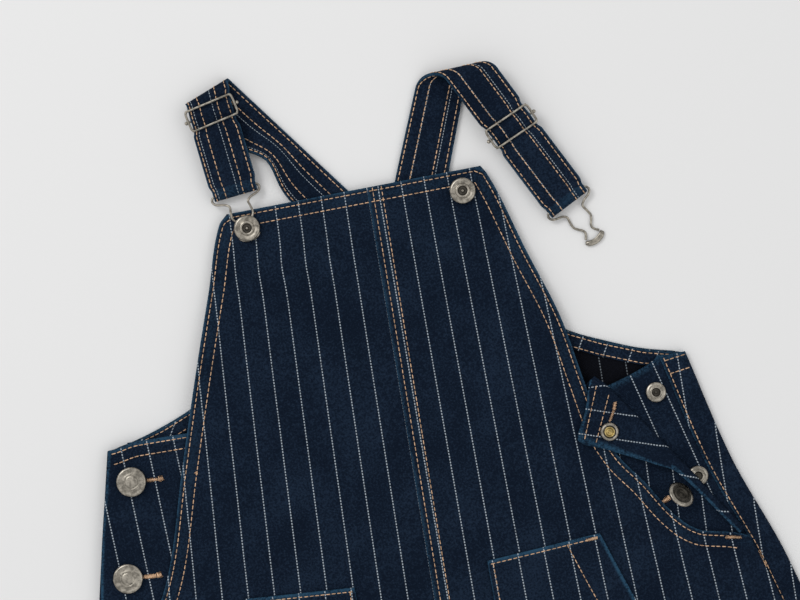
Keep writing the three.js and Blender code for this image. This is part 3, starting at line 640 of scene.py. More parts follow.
def denim(name, ground, light, stripe_strength, stripe_half=0.022):
    """Twill with dotted pinstripes, blotches and worn edges.

    The weave map counts pinstripes across the cloth and metres along it.
    """
    finish = bpy.context.scene.skirt_finish
    n = Nodes(name)
    place = n.add("ShaderNodeTexCoord").outputs["Object"]
    weave = n.add("ShaderNodeUVMap", uv_map="weave").outputs[0]
    split = n.add("ShaderNodeSeparateXYZ", {0: weave})
    wear = n.add("ShaderNodeAttribute", attribute_name="wear").outputs["Fac"]
    blotch = n.noise(place, 32.0, 4.0, 0.6)
    grain = n.noise(place, 900.0, 2.0, 0.7)
    patch = n.ramp(n.weigh(blotch, 0.35, grain, 0.65), 0.42, 0.66)
    base = n.blend(patch, ground, light)
    fray = n.maths("MULTIPLY", wear, n.ramp(n.weigh(blotch, 0.4, grain, 0.6), 0.34, 0.58))
    base = n.blend(fray, base, tuple(finish.worn))
    centred = n.maths("SUBTRACT", n.maths("FRACT", n.maths("ADD", split.outputs[0], 0.5)), 0.5)
    line = n.ramp(n.maths("ABSOLUTE", centred), stripe_half * 0.55, stripe_half * 1.25)
    line = n.maths("SUBTRACT", 1.0, line)
    dash = n.maths("PINGPONG", n.maths("MULTIPLY", split.outputs[1], 1 / DOT_SPACING), 0.5)
    dots = n.maths("MULTIPLY", line, n.ramp(dash, 0.15, 0.24))
    faded = n.maths("MULTIPLY", n.ramp(grain, 0.2, 0.5), stripe_strength)
    stripe = n.maths("MULTIPLY", dots, faded)
    n.join(n.blend(stripe, base, tuple(finish.pinstripe)), "Base Color")
    n.shader.inputs["Roughness"].default_value = 0.88
    n.shader.inputs["Specular IOR Level"].default_value = 0.05
    waves = {"Vector": place, "Scale": 430.0, "Distortion": 1.2, "Detail": 1.0}
    twill = n.add("ShaderNodeTexWave", waves, bands_direction="DIAGONAL").outputs["Fac"]
    height = n.maths("ADD", n.maths("MULTIPLY", twill, 0.5), n.weigh(grain, 0.9, stripe, 0.5))
    bump = n.add("ShaderNodeBump", {"Strength": 0.55, "Distance": 0.0004, "Height": height})
    n.join(bump.outputs[0], "Normal")
    return n.material


def thread_finish(name):
    finish = bpy.context.scene.skirt_finish
    n = Nodes(name)
    place = n.add("ShaderNodeTexCoord").outputs["Object"]
    spots = n.noise(place, 260.0, 2.0)
    pale = tuple(min(1, c * 1.5 + 0.03) for c in finish.thread)
    n.join(n.blend(n.ramp(spots, 0.3, 0.7), tuple(c * 0.75 for c in finish.thread), pale), "Base Color")
    n.shader.inputs["Roughness"].default_value = 0.7
    return n.material


def metal_finish(name, tone, roughness):
    n = Nodes(name)
    place = n.add("ShaderNodeTexCoord").outputs["Object"]
    tarnish = n.noise(place, 420.0, 4.0, 0.65)
    n.join(n.blend(n.ramp(tarnish, 0.35, 0.65), tuple(c * 0.45 for c in tone), tuple(tone)), "Base Color")
    n.join(n.maths("MULTIPLY_ADD", tarnish, 0.3, roughness - 0.1), "Roughness")
    n.shader.inputs["Metallic"].default_value = 1.0
    bump = n.add("ShaderNodeBump", {"Strength": 0.25, "Distance": 0.0002, "Height": tarnish})
    n.join(bump.outputs[0], "Normal")
    return n.material


def finish_of(name):
    """Each finish is made once and then shared."""
    full = f"{name}_finish"
    if full in bpy.data.materials:
        return bpy.data.materials[full]
    finish = bpy.context.scene.skirt_finish
    indigo, light, inside = tuple(finish.indigo), tuple(finish.indigo_light), tuple(finish.inside)
    makers = {
        "denim": lambda: denim(full, indigo, light, 0.95),
        "denim_inside": lambda: denim(full, inside, tuple(c * 1.7 for c in inside), 0.35, 0.022),
        "strap_denim": lambda: denim(full, indigo, light, 0.95, 0.015),
        "thread": lambda: thread_finish(full),
        "nickel": lambda: metal_finish(full, finish.nickel, 0.30),
        # Dark nickel: the darker hollows of the buttons, studs and socket, and painted shade over the face of
        # the tilted button.
        "nickel_hollows_and_painted_shade": lambda: metal_finish(full, [c * 0.2 for c in finish.nickel], 0.5),
        "brass": lambda: metal_finish(full, finish.brass, 0.28),
    }
    return makers[name]()


# ---- Back ---------------------------------------------------------------------------------------


def back_grid():
    first, last = BACK_TOP[0], BACK_TOP[-1]
    angles = np.radians([-90, -60, -30, 0, 30, 60, 90])
    inner_x = np.linspace(first[0] + 7, last[0] - 7, 90)
    top_y = along(BACK_TOP, inner_x)
    share = (inner_x - first[0]) / (last[0] - first[0])
    hem_x = mix(OUTLINE_HEM_LEFT, OUTLINE[1][-1][1], share)
    reach = WRAP_WIDTH - WRAP_RADIUS - CLOTH / 2
    backs = [reach, reach * 0.9, reach * 0.6, reach * 0.3]

    def wrapped(side, corner, t, angle, back):
        y = mix(corner[1], HEM_Y, t)
        centre = float(along(OUTLINE[side], y)) - side * (WRAP_RADIUS + CLOTH / 2)
        z = CLOTH / 2 + WRAP_RADIUS * (1 + math.sin(angle))
        return (centre + side * (WRAP_RADIUS * math.cos(angle) - back), y, z)

    rows = []
    for t in np.linspace(0, 1, 90):
        row = [wrapped(-1, first, t, angles[-1], back) for back in backs]
        row += [wrapped(-1, first, t, angle, 0) for angle in angles[::-1]]
        level = np.full(len(inner_x), CLOTH / 2)
        row += list(zip(mix(inner_x, hem_x, t), mix(top_y, HEM_Y, t), level))
        row += [wrapped(1, last, t, angle, 0) for angle in angles]
        row += [wrapped(1, last, t, angles[-1], back) for back in backs[::-1]]
        rows.append(row)
    return np.array(rows, float)


def back_edge_point(t, inwards, z):
    """A place beside the back's top edge: t runs from the left corner to the right one."""
    table = np.array(BACK_TOP, float)
    run = np.concatenate([[0], np.cumsum(np.linalg.norm(np.diff(table, axis=0), axis=1))])
    s = t * run[-1]
    p = np.array([np.interp(s, run, table[:, k]) for k in range(2)])
    q = np.array([np.interp(s + 4, run, table[:, k]) for k in range(2)])
    o = np.array([np.interp(s - 4, run, table[:, k]) for k in range(2)])
    d = (q - o) / (np.linalg.norm(q - o) + 1e-9)
    return (p[0] + d[1] * inwards, p[1] - d[0] * inwards, z)


class SKIRT_OT_back(bpy.types.Operator):
    """Cut the back with its sides wrapped round to the front, and its facing band"""

    bl_idname = "skirt.back"
    bl_label = "Back and facing band"

    def execute(self, context):
        grid = back_grid()
        x, y = grid[..., 0], grid[..., 1]
        uv = np.stack([x / 14.0 + 0.2 - 0.25 * x / 160, y * MM], 2)
        wear = np.zeros(x.shape)
        wear[:, :1] = wear[:, -1:] = 1.0
        wear[:, 8] = wear[:, -9] = 0.5
        wear[0, :] = 0.8
        back = cloth("back", grid, CLOTH, uv, wear, finish_of("denim_inside"), finish_of("denim"))
        slots = np.empty(len(back.data.polygons), np.int32)
        back.data.polygons.foreach_get("material_index", slots)
        outer = np.array([p.center.z / MM for p in back.data.polygons]) > CLOTH + 0.05
        back.data.polygons.foreach_set("material_index", np.where(outer, 1, slots).astype(np.int32))
        keep_piece(back, ["back_panel"])
        stations = np.linspace(0.008, 0.992, 260)
        offsets = (1.2, 1.9, 3.5, 5.2, 7.0, 8.6, 9.4)
        band = np.array([[back_edge_point(t, off, BAND_Z + BAND / 2) for off in offsets] for t in stations])
        bx, by = band[..., 0], band[..., 1]
        band[..., 2] += 0.10 * np.sin(stations * 420)[:, None]
        band_wear = np.zeros(bx.shape)
        band_wear[:, 0] = 0.9
        band_uv = np.stack([(bx * 0.9 - by * 0.5) / 14.5, by * MM], 2)
        outside, inside = finish_of("denim"), finish_of("denim_inside")
        strip = cloth("facing_band", band, BAND, band_uv, band_wear, outside, inside)
        keep_piece(strip, ["back_band"])
        rows = []
        for off in (2.4, 8.2):
            path = [back_edge_point(t, off, BAND_Z + BAND + 0.12) for t in stations]
            rows.append(level_row(path))
        stitched("band_stitches", rows, finish_of("thread"), 3)
        return {"FINISHED"}


# ---- Side openings ------------------------------------------------------------------------------


def underlay_grid(side):
    rows = []
    for t in np.linspace(0, 1, 60):
        row = []
        for share in np.concatenate([np.linspace(-0.12, 0.9, 26), [0.94, 0.97, 1.0]]):
            y = mix(mix(-118, -130.5, max(share, 0) ** 0.7), -246, t)
            outer = float(along(OUTLINE[side], y)) - side * (WRAP_WIDTH + WRAP_GAP)
            dip = 1.42 * float(smooth((0.03 - share) / 0.12))
            row.append((outer - side * 34 * share, y, UNDERLAY_Z + CLOTH / 2 - dip))
        rows.append(row)
    return np.array(rows, float)


def side_left_grid():
    rows = []
    for t in np.linspace(0, 1, 80):
        row = []
        for share in np.concatenate([np.linspace(0, 0.94, 32), [0.965, 0.985, 1.0]]):
            y = mix(-118 - 2.5 * float(smooth((share - 0.7) / 0.3)), -246, t)
            x = mix(mix(-105, -141, t), float(along(SIDE_EDGE_LEFT, y)), share)
            row.append((x, y, SIDE_Z + CLOTH / 2))
        rows.append(row)
    return np.array(rows, float)


FLAP_ALONG = np.array([math.cos(FLAP_ANGLE), math.sin(FLAP_ANGLE)])
FLAP_INWARDS = np.array([FLAP_ALONG[1], -FLAP_ALONG[0]])


def flap_lift(down, inside):
    away = (down - FLAP_LIFT["along"]) / FLAP_LIFT["reach"]
    fade = float(smooth((FLAP_LIFT["inside"] - inside) / FLAP_LIFT["inside"]))
    return FLAP_LIFT["height"] * math.exp(-away * away) * fade


def flap_place(down, inside, z):
    flat = FLAP_START + FLAP_ALONG * down + FLAP_INWARDS * inside
    return (flat[0], flat[1], z)


def flap_radius(down):
    return mix(1.15, FLAP_RADIUS, float(smooth(down / 8) * smooth((104 - down) / 36)))


def flap_grid():
    low = SIDE_Z + CLOTH / 2
    insides = [FLAP_REACH, 26, 22, 18, 14, 11, 9, 7.5, 6, 4.5, 3, 1.5, 0]
    rows, uvs, wears = [], [], []
    for down in np.linspace(0, 118, 130):
        radius = flap_radius(down)
        back = float(along(FLAP_BACK, down))
        row, cross = [], []
        for inside in insides:
            row.append(flap_place(down, inside, low + flap_lift(down, inside)))
            cross.append(-inside)
        for angle in np.radians([20, 40, 60, 80, 100, 120, 140, 160, 180]):
            z = low + flap_lift(down, 0) + radius * (1 - math.cos(angle))
            row.append(flap_place(down, -radius * math.sin(angle), z))
            cross.append(radius * angle)
        for t in (0.08, 0.2, 0.35, 0.5, 0.65, 0.8, 0.9, 0.95, 1):
            ripple = 0.35 * math.sin(down / 5 + 3 * t) * min(1, back / 10)
            row.append(flap_place(down, back * t, low + flap_lift(down, 0) + 2 * radius + ripple))
            cross.append(radius * math.pi + back * t)
        rows.append(row)
        uvs.append([((c * 0.80 + down * 0.60) / 14.0 + 0.35, (down * 0.8 - c * 0.6) * MM) for c in cross])
        worn = 3 if back > 5 else 6
        wears.append([0] * (len(cross) - worn) + [0.85] * worn)
    wear = np.array(wears, float)
    top_hem = np.linspace(0, 118, 130) < 19
    wear[top_hem, -1] = 1.0
    return np.array(rows, float), np.array(uvs, float), wear


class SKIRT_OT_sides(bpy.types.Operator):
    """Cut the underlays and the side pieces, the right one turned over"""

    bl_idname = "skirt.sides"
    bl_label = "Side openings"

    def execute(self, context):
        rows = []
        for side, name in ((-1, "underlay_left"), (1, "underlay_right")):
            grid = underlay_grid(side)
            x, y = grid[..., 0], grid[..., 1]
            inwards = np.clip((np.arange(grid.shape[1]) - 8) / 8, 0, 1)
            grid[..., 2] += inwards * (0.25 + 0.25 * np.sin(y / 9 + x / 14))
            wear = np.zeros(x.shape)
            wear[:1, :] = 0.9
            wear[1, :] = 0.4
            wear[:, -2:] = 0.9
            uv = np.stack([(x - side * 0.27 * (-120 - y)) / 14.6 + 0.42, y * MM], 2)
            piece = cloth_piece(f"{name}_cloth", name, grid, uv, wear)
        grid = side_left_grid()
        x, y = grid[..., 0], grid[..., 1]
        grid[..., 2] += 0.3 + 0.3 * np.sin(y / 11 + x / 17)
        wear = np.zeros(x.shape)
        wear[:2, :] = 0.8
        wear[:, -2:] = 0.9
        uv = np.stack([(x - 0.05 * (-120 - y) + 157.9) / 14.8, y * MM], 2)
        piece = cloth_piece("side_left_cloth", "side_piece_left", grid, uv, wear)
        z = SIDE_Z + CLOTH + 0.55
        for drop in (2.2, 8.0):
            path = []
            for px in np.linspace(-108, -164, 40):
                path.append((px, -118 - 2.5 * float(smooth((-148 - px) / 16)) - drop, z))
            rows.append(level_row(path))
        grid, uv, wear = flap_grid()
        piece = cloth_piece("side_right_cloth", "side_piece_right", grid, uv, wear, inside="denim")
        top = SIDE_Z + CLOTH
        for start, end in (((107.3, -128.5), (95.6, -157.6)), ((113.2, -134.5), (101.8, -159.8))):
            path = []
            for t in np.linspace(0, 1, 30):
                spot = mix(np.array(start), np.array(end), t)
                down = float((spot - FLAP_START) @ FLAP_ALONG)
                path.append((*spot, top + 2 * flap_radius(down) + 0.4))
            rows.append(level_row(path))
        # Single row that joins the right side of the wrapped back to its underlay.
        path = []
        for py in np.linspace(OUTLINE[1][0][0] - 1, HEM_Y + 2, 300):
            px = float(along(OUTLINE[1], py)) - (WRAP_WIDTH - 2.0)
            path.append((px, py, UNDERLAY_Z + CLOTH + 0.05))
        rows.append(level_row(path))
        for drop in (3.5, 11.0):
            path = []
            for share in np.linspace(0.1, 0.97, 12):
                py = -118.5 - drop + 2.2 * share
                px = float(along(OUTLINE[1], py)) - WRAP_WIDTH * (1 - share)
                path.append((px, py, UNDERLAY_Z + CLOTH + 0.1))
            rows.append(level_row(path))
        rows.append(bartack((181, -234), (184, -244), lambda px, py: UNDERLAY_Z + CLOTH + 0.1, 1.8))
        for centre, reach in (((-155, -139.5), 18), ((-165.5, -192), 19)):
            start = (centre[0] + 8.6, centre[1] - 0.5)
            bar = (centre[0] + reach - 3, centre[1] - 1)
            end = (centre[0] + reach, centre[1] - 0.6)
            rows.append(bartack(start, bar, lambda px, py: z, 2.6))
            rows.append(bartack(bar, end, lambda px, py: z, 3.6))
        over = top + 2 * FLAP_RADIUS + CLOTH / 2
        rows.append(bartack((111, -149.5), (114.5, -143.5), lambda px, py: over - 0.2, 1.6))
        rows.append(bartack((114.5, -143.5), (116, -139), lambda px, py: over - 0.2, 2.2))
        rows.append(bartack((137.5, -196.5), (131, -199.5), lambda px, py: top + 0.3, 3.4))
        stitched("side_stitches", rows, finish_of("thread"), 5)
        return {"FINISHED"}


# ---- Front and pockets --------------------------------------------------------------------------


def front_grid(side):
    table = FRONT_EDGE[side]
    levels = np.concatenate([
        np.linspace(0, -8, 8, endpoint=False), np.linspace(-8, -200, 80, endpoint=False),
        np.linspace(-200, -240, 40, endpoint=False), np.linspace(-240, HEM_Y, 66),
    ])
    outer = np.array([0, 0.5, 1.1, 1.8, 2.3, 2.9, 4, 5.2, 6.5, 7.6, 8.3, 9, 10, 12])
    seam = np.array([12, 10.5, 9.3, 8.6, 8.0, 7.3, 6, 4.6, 3.6, 3.0, 2.3, 1.4, 0.8, 0.4, GAP / 2])
    edge = np.abs(along(table, levels))
    rows = []
    for level, reach in zip(levels, edge):
        middle = np.linspace(reach - 12, 12, 38)[1:-1]
        x = side * np.concatenate([reach - outer, middle, seam])
        y = level + BIB_TILT * x * smooth((level + 100) / 100)
        rows.append(np.stack([x, y], 1))
    flat = np.array(rows)
    z, gap = front_surface(flat[..., 0], flat[..., 1])
    return np.concatenate([flat, z[..., None]], 2), gap


class SKIRT_OT_front(bpy.types.Operator):
    """Cut the two halves of the bib and skirt front, and topstitch them"""

    bl_idname = "skirt.front"
    bl_label = "Bib and skirt front"

    def execute(self, context):
        cut = context.scene.skirt_cut
        near, far = cut.row_near / MM, cut.row_far / MM
        rows = []

        def on_front(path):
            path = np.asarray(path, float)
            z = front_surface(path[:, 0], path[:, 1])[0] + CLOTH / 2 + 0.06
            return level_row(np.concatenate([path, z[:, None]], 1))

        for side, name in ((-1, "front_left"), (1, "front_right")):
            grid, gap = front_grid(side)
            x, y = grid[..., 0], grid[..., 1]
            wear = 0.95 * np.exp(-((gap / 0.9) ** 2)) + 0.12 * np.exp(-(((gap - 5.2) / 2.0) ** 2))
            wear += 0.12 * np.exp(-(((x - 5.5) / 2.0) ** 2)) * (side > 0)
            wear += 0.9 * np.exp(-((x / 0.9) ** 2)) * (side > 0)
            uv = np.stack([stripe_count(x, y, side), y * MM], 2)
            piece = cloth_piece(f"{name}_cloth", name, grid, uv, np.clip(wear, 0, 1))
            for row in (near, far):
                rows.append(on_front(offset_path(BORDER[side], side * row)))
        for offset in (3.0, 8.0):
            rows.append(on_front([(offset, y) for y in np.linspace(0, HEM_Y + 1, 400)]))
        for row in (2.2, 24.0):
            reach = (float(along(FRONT_EDGE[-1], HEM_Y)) + 3, float(along(FRONT_EDGE[1], HEM_Y)) - 3)
            rows.append(on_front([(x, HEM_Y + row) for x in np.linspace(*reach, 200)]))

        def surface(px, py):
            return float(front_surface(np.array([px]), np.array([py]))[0][0]) + CLOTH / 2 + 0.1

        rows.append(bartack((164, -223.2), (173, -224.6), surface, 2.0))
        rows.append(bartack((-119.4, -140.0), (-117.6, -141.2), surface, 1.8))
        stitched("front_stitches", rows, finish_of("thread"), 7)
        return {"FINISHED"}


def pocket_edge(spec, share, t):
    inner, outer = spec["inner"], spec["outer"]
    foot = spec["edge"][-1][0]
    y = mix(mix(inner[1], outer[1], share), foot, t)
    low = min(max((foot + POCKET_FOOT - y) / POCKET_FOOT, 0.0), 1.0)
    rounding = POCKET_FOOT * (1 - math.sqrt(1 - low**2)) * 0.6
    inner_x = inner[0] + spec["side"] * (2 * t + rounding)
    return mix(inner_x, float(along(spec["edge"], y)), share), y


class SKIRT_OT_pockets(bpy.types.Operator):
    """Cut and topstitch the two patch pockets"""

    bl_idname = "skirt.pockets"
    bl_label = "Patch pockets"

    def execute(self, context):
        rows = []
        ups = np.concatenate([[0, 0.006, 0.014, 0.025, 0.04], np.linspace(0.055, 0.97, 46), [0.985, 1]])
        shares = np.concatenate([[0, 0.012, 0.03, 0.05], np.linspace(0.08, 0.94, 28), [0.965, 0.985, 1]])
        for name, spec in POCKETS.items():
            side = spec["side"]

            def top_of(x, y):
                return front_surface(np.array([x]), np.array([y]))[0][0] + LAYER + CLOTH / 2 + 0.1

            flat = np.array([[pocket_edge(spec, share, t) for share in shares] for t in ups])
            x, y = flat[..., 0], flat[..., 1]
            z = front_surface(x, y)[0] + LAYER
            wear = np.zeros(x.shape)
            wear[:2, :] = 1.0
            wear[2, :] = 0.5
            wear[:, -2:] = 1.0
            wear[:, :1] = 0.8
            uv = np.stack([stripe_count(x, y, side) + 0.08, y * MM], 2)
            grid = np.concatenate([flat, z[..., None]], 2)
            piece = cloth_piece(f"{name}_cloth", name, grid, uv, wear)

            def stitch_along(places, inwards, up):
                path = []
                for share, t in places:
                    px, py = pocket_edge(spec, share, t)
                    px, py = px - side * inwards, py + up
                    path.append((px, py, top_of(px, py)))
                rows.append(level_row(np.array(path)))

            stitch_along([(share, 0) for share in np.linspace(0.02, 0.97, 30)], 0, -2.2)
            stitch_along([(0, t) for t in np.linspace(0.01, 0.98, 60)], -3.0, 0)
            stitch_along([(1, t) for t in np.linspace(0.02, 0.62, 50)], 20, 0)
            stitch_along([(1, t) for t in np.linspace(0.62, 0.98, 20)], 2.2, 0)
            stitch_along([(share, 1) for share in np.linspace(0.05, 0.95, 30)], 0, 2.5)
            end = pocket_edge(spec, 0.97, 0)
            rows.append(bartack((end[0] - side * 6.5, end[1] - 2.6), (end[0], end[1] - 2.1), top_of, 1.9))
        stitched("pocket_stitches", rows, finish_of("thread"), 9)
        return {"FINISHED"}


# ---- Straps, sliders and hooks ------------------------------------------------------------------


class Strap:
    """Strap that rises flat from the back, loops over an inclined line and falls to its hook."""

    def __init__(self, side):
        self.side = side
        self.spec = STRAPS[side]
        self.up = self.direction(self.spec["rise_angle"])
        self.down = self.direction(self.spec["fall_angle"])
        self.across_up = np.array([self.up[1], -self.up[0]])
        self.across_down = np.array([-self.down[1], self.down[0]])
        self.fold = np.array(self.spec["base"], float) + self.up * self.spec["rise"]
        self.normal = (self.up - self.down) / np.linalg.norm(self.up - self.down)
        self.slide_along = np.array([self.normal[1], -self.normal[0]])
        self.radius = self.spec["radius"]
        self.half = math.pi * self.radius
        start = self.fold + self.normal * self.half + self.slide_along * self.spec["slide"]
        self.end = start + self.down * self.spec["fall"]
        self.end_z = STRAP / 2 + 2 * LOOP_RADIUS
        self.loop_z = STRAP / 2 + 2 * self.radius
        self.fold_length = self.spec["fall"] - self.half / (self.normal @ self.up)
        self.tilt = math.tan(math.radians(self.spec["tilt"]))
        self.bar_e = LOOP_RADIUS + STRAP / 2

    @staticmethod
    def direction(degrees):
        return np.array([math.cos(math.radians(degrees)), math.sin(math.radians(degrees))])

    def top_z(self, e):
        settled = self.spec["settle"](min(max(e / self.fold_length, 0), 1))
        return self.end_z + (self.loop_z - self.end_z) * settled

    def bump(self, e, w):
        off = (e - self.spec["slider"] + w * self.tilt) / (SLIDER_HALF - 1.1)
        return SLIDER_BUMP * math.cos(off * math.pi / 2) ** 2 if abs(off) < 1 else 0.0

    def fallen(self, e, w, z):
        flat = self.end - self.down * e + self.across_down * w
        return (flat[0], flat[1], z)

    def looped(self, s, w):
        flat = self.fold + self.up * s + self.across_up * w
        past = (flat - self.fold) @ self.normal
        if past <= 0:
            curl = self.spec["curl"] * math.exp(-(((s + self.spec["rise"] - 33) / 14) ** 2))
            curl *= max((STRAP_HALF - w) / (2 * STRAP_HALF), 0.0) ** 1.6
            flat = flat + self.across_up * curl
            return (flat[0], flat[1], STRAP / 2 + 0.75 * abs(curl))
        e = self.spec["fall"] - s
        if past >= self.half:
            return self.fallen(e, w, self.top_z(e) + self.bump(e, w))
        turn = past / self.radius
        flat = flat + self.normal * (self.radius * math.sin(turn) - past)
        flat = flat + self.slide_along * self.spec["slide"] * float(smooth(past / self.half))
        return (flat[0], flat[1], STRAP / 2 + self.radius * (1 - math.cos(turn)))

    def half_width(self, e):
        at_slider = float(smooth((11 - abs(e - self.spec["slider"])) / 4))
        at_hook = float(smooth((9 - e) / 4))
        return mix(STRAP_HALF, STRAP_PINCH, max(at_slider, at_hook))

    def rows(self, columns):
        """Rows of middle points from the back's top to the slider, and each row's distance along."""
        lean = self.half / (self.normal @ self.up)
        skew = abs(self.up[1] * self.normal[0] - self.up[0] * self.normal[1]) * self.spec["base_half"]
        grid, run = [], []
        let_in = []
        for c in columns:
            w = c * self.spec["base_half"]
            let_in.append(self.looped((LET_IN_Y - self.fold[1] + self.up[0] * w) / self.up[1], w))
        grid.append(let_in)
        run.append(-self.spec["rise"] - 26)
        rising = np.linspace(-self.spec["rise"] - 6, -skew - 1, 24)
        looping = np.linspace(-skew, lean + skew + 1, 48)
        for s in np.concatenate([rising, looping]):
            share = min(max(1 + s / self.spec["rise"], 0), 1)
            width = mix(self.spec["base_half"], self.half_width(self.spec["fall"] - s), share)
            grid.append([self.looped(s, c * width) for c in columns])
            run.append(s)
        first = self.spec["fall"] - (lean + skew + 1)
        for e in np.linspace(first - 0.8, self.bar_e, int(first)):
            grid.append([self.looped(self.spec["fall"] - e, c * self.half_width(e)) for c in columns])
            run.append(self.spec["fall"] - e)
        bar_z = self.top_z(self.bar_e) - LOOP_RADIUS
        for angle in np.radians(np.arange(15, 180, 15)):
            e = self.bar_e - LOOP_RADIUS * math.sin(angle)
            z = bar_z + LOOP_RADIUS * math.cos(angle)
            grid.append([self.fallen(e, c * STRAP_PINCH, z) for c in columns])
            run.append(self.spec["fall"] - self.bar_e + LOOP_RADIUS * angle)
        for t in np.linspace(0, 1, 36):
            row = []
            for c in columns:
                e = mix(self.bar_e, self.spec["slider"] + 1 - c * STRAP_PINCH * self.tilt * t, t)
                apart = mix(2 * LOOP_RADIUS, STRAP + 2 * GAP, float(smooth((e - self.bar_e) / 10)))
                z = self.top_z(e) - mix(apart, STRAP - GAP, float(smooth((e - self.spec["slider"] + 6) / 5)))
                row.append(self.fallen(e, c * (self.half_width(e) - 0.4 * float(smooth(t * 4))), z))
            grid.append(row)
            run.append(self.spec["fall"] + self.spec["slider"] * t + 4)
        return np.array(grid, float), np.array(run)

    def slider_place(self, e, w, rise):
        turn = math.radians(self.spec["tilt"])
        back = e * math.cos(turn) - w * math.sin(turn)
        across = e * math.sin(turn) + w * math.cos(turn)
        at = self.spec["slider"]
        slope = self.top_z(at + 1) - self.top_z(at)
        return self.fallen(at + back, across, self.top_z(at) + slope * back + rise)

    def hook_place(self):
        fastened = self.side == "left"
        button = np.array(BIB_BUTTONS["bib_button_left"], float)
        axis = (button - self.end) / np.linalg.norm(button - self.end) if fastened else self.down
        across = np.array([-axis[1], axis[0]])
        bar_z = self.top_z(self.bar_e) - LOOP_RADIUS
        lie = float(front_base(*button)) + LAYER + WIRE + 0.9 if fastened else WIRE + 0.1

        def place(distance, half, rise=0.0):
            flat = self.end + axis * distance + across * half
            lowered = float(smooth((distance + 1) / (6 if fastened else 9)))
            return (flat[0], flat[1], mix(bar_z, lie, lowered) + rise)

        return place


class SKIRT_OT_straps(bpy.types.Operator):
    """Sew the two shoulder straps and lay each over its loop"""

    bl_idname = "skirt.straps"
    bl_label = "Straps"

    def execute(self, context):
        edge = np.array([0.8, 0.88, 0.95, 0.985, 1])
        columns = np.concatenate([-edge[::-1], [-0.62, -0.44, -0.25, 0, 0.2, 0.38, 0.6], edge])
        rows = []
        for side in STRAPS:
            strap = Strap(side)
            grid, run = strap.rows(columns)
            share = np.tile((columns + 1) / 2, (len(grid), 1))
            first, step = strap.spec["stripes"]
            uv = np.stack([(share - first) / step, np.tile(run[:, None] * MM, (1, len(columns)))], 2)
            edge_wear = np.where(np.abs(columns) > 0.96, 0.8, np.where(np.abs(columns) > 0.9, 0.2, 0.0))
            wear = np.tile(edge_wear, (len(grid), 1))
            bar = np.abs(run - (strap.spec["fall"] - 2)) < 4
            wear[bar] = np.maximum(wear[bar], 0.25)
            both = finish_of("strap_denim")
            piece = cloth(f"strap_{side}_cloth", grid, STRAP, uv, wear, both, both)
            keep_piece(piece, [f"strap_{side}"])
            down = np.gradient(grid, axis=0)
            across = np.gradient(grid, axis=1)
            normal = np.cross(across, down)
            normal /= np.linalg.norm(normal, axis=2)[:, :, None] + 1e-12
            for place in STRAP_ROWS:
                at = place * 2 - 1
                line = np.array([[np.interp(at, columns, row[:, k]) for k in range(3)] for row in grid])
                face = np.array([[np.interp(at, columns, row[:, k]) for k in range(3)] for row in normal])
                for way in (1, -1):
                    rows.append((line + face * way * (STRAP / 2 + 0.04), face * way))
        stitched("strap_stitches", rows, finish_of("thread"), 11)
        return {"FINISHED"}


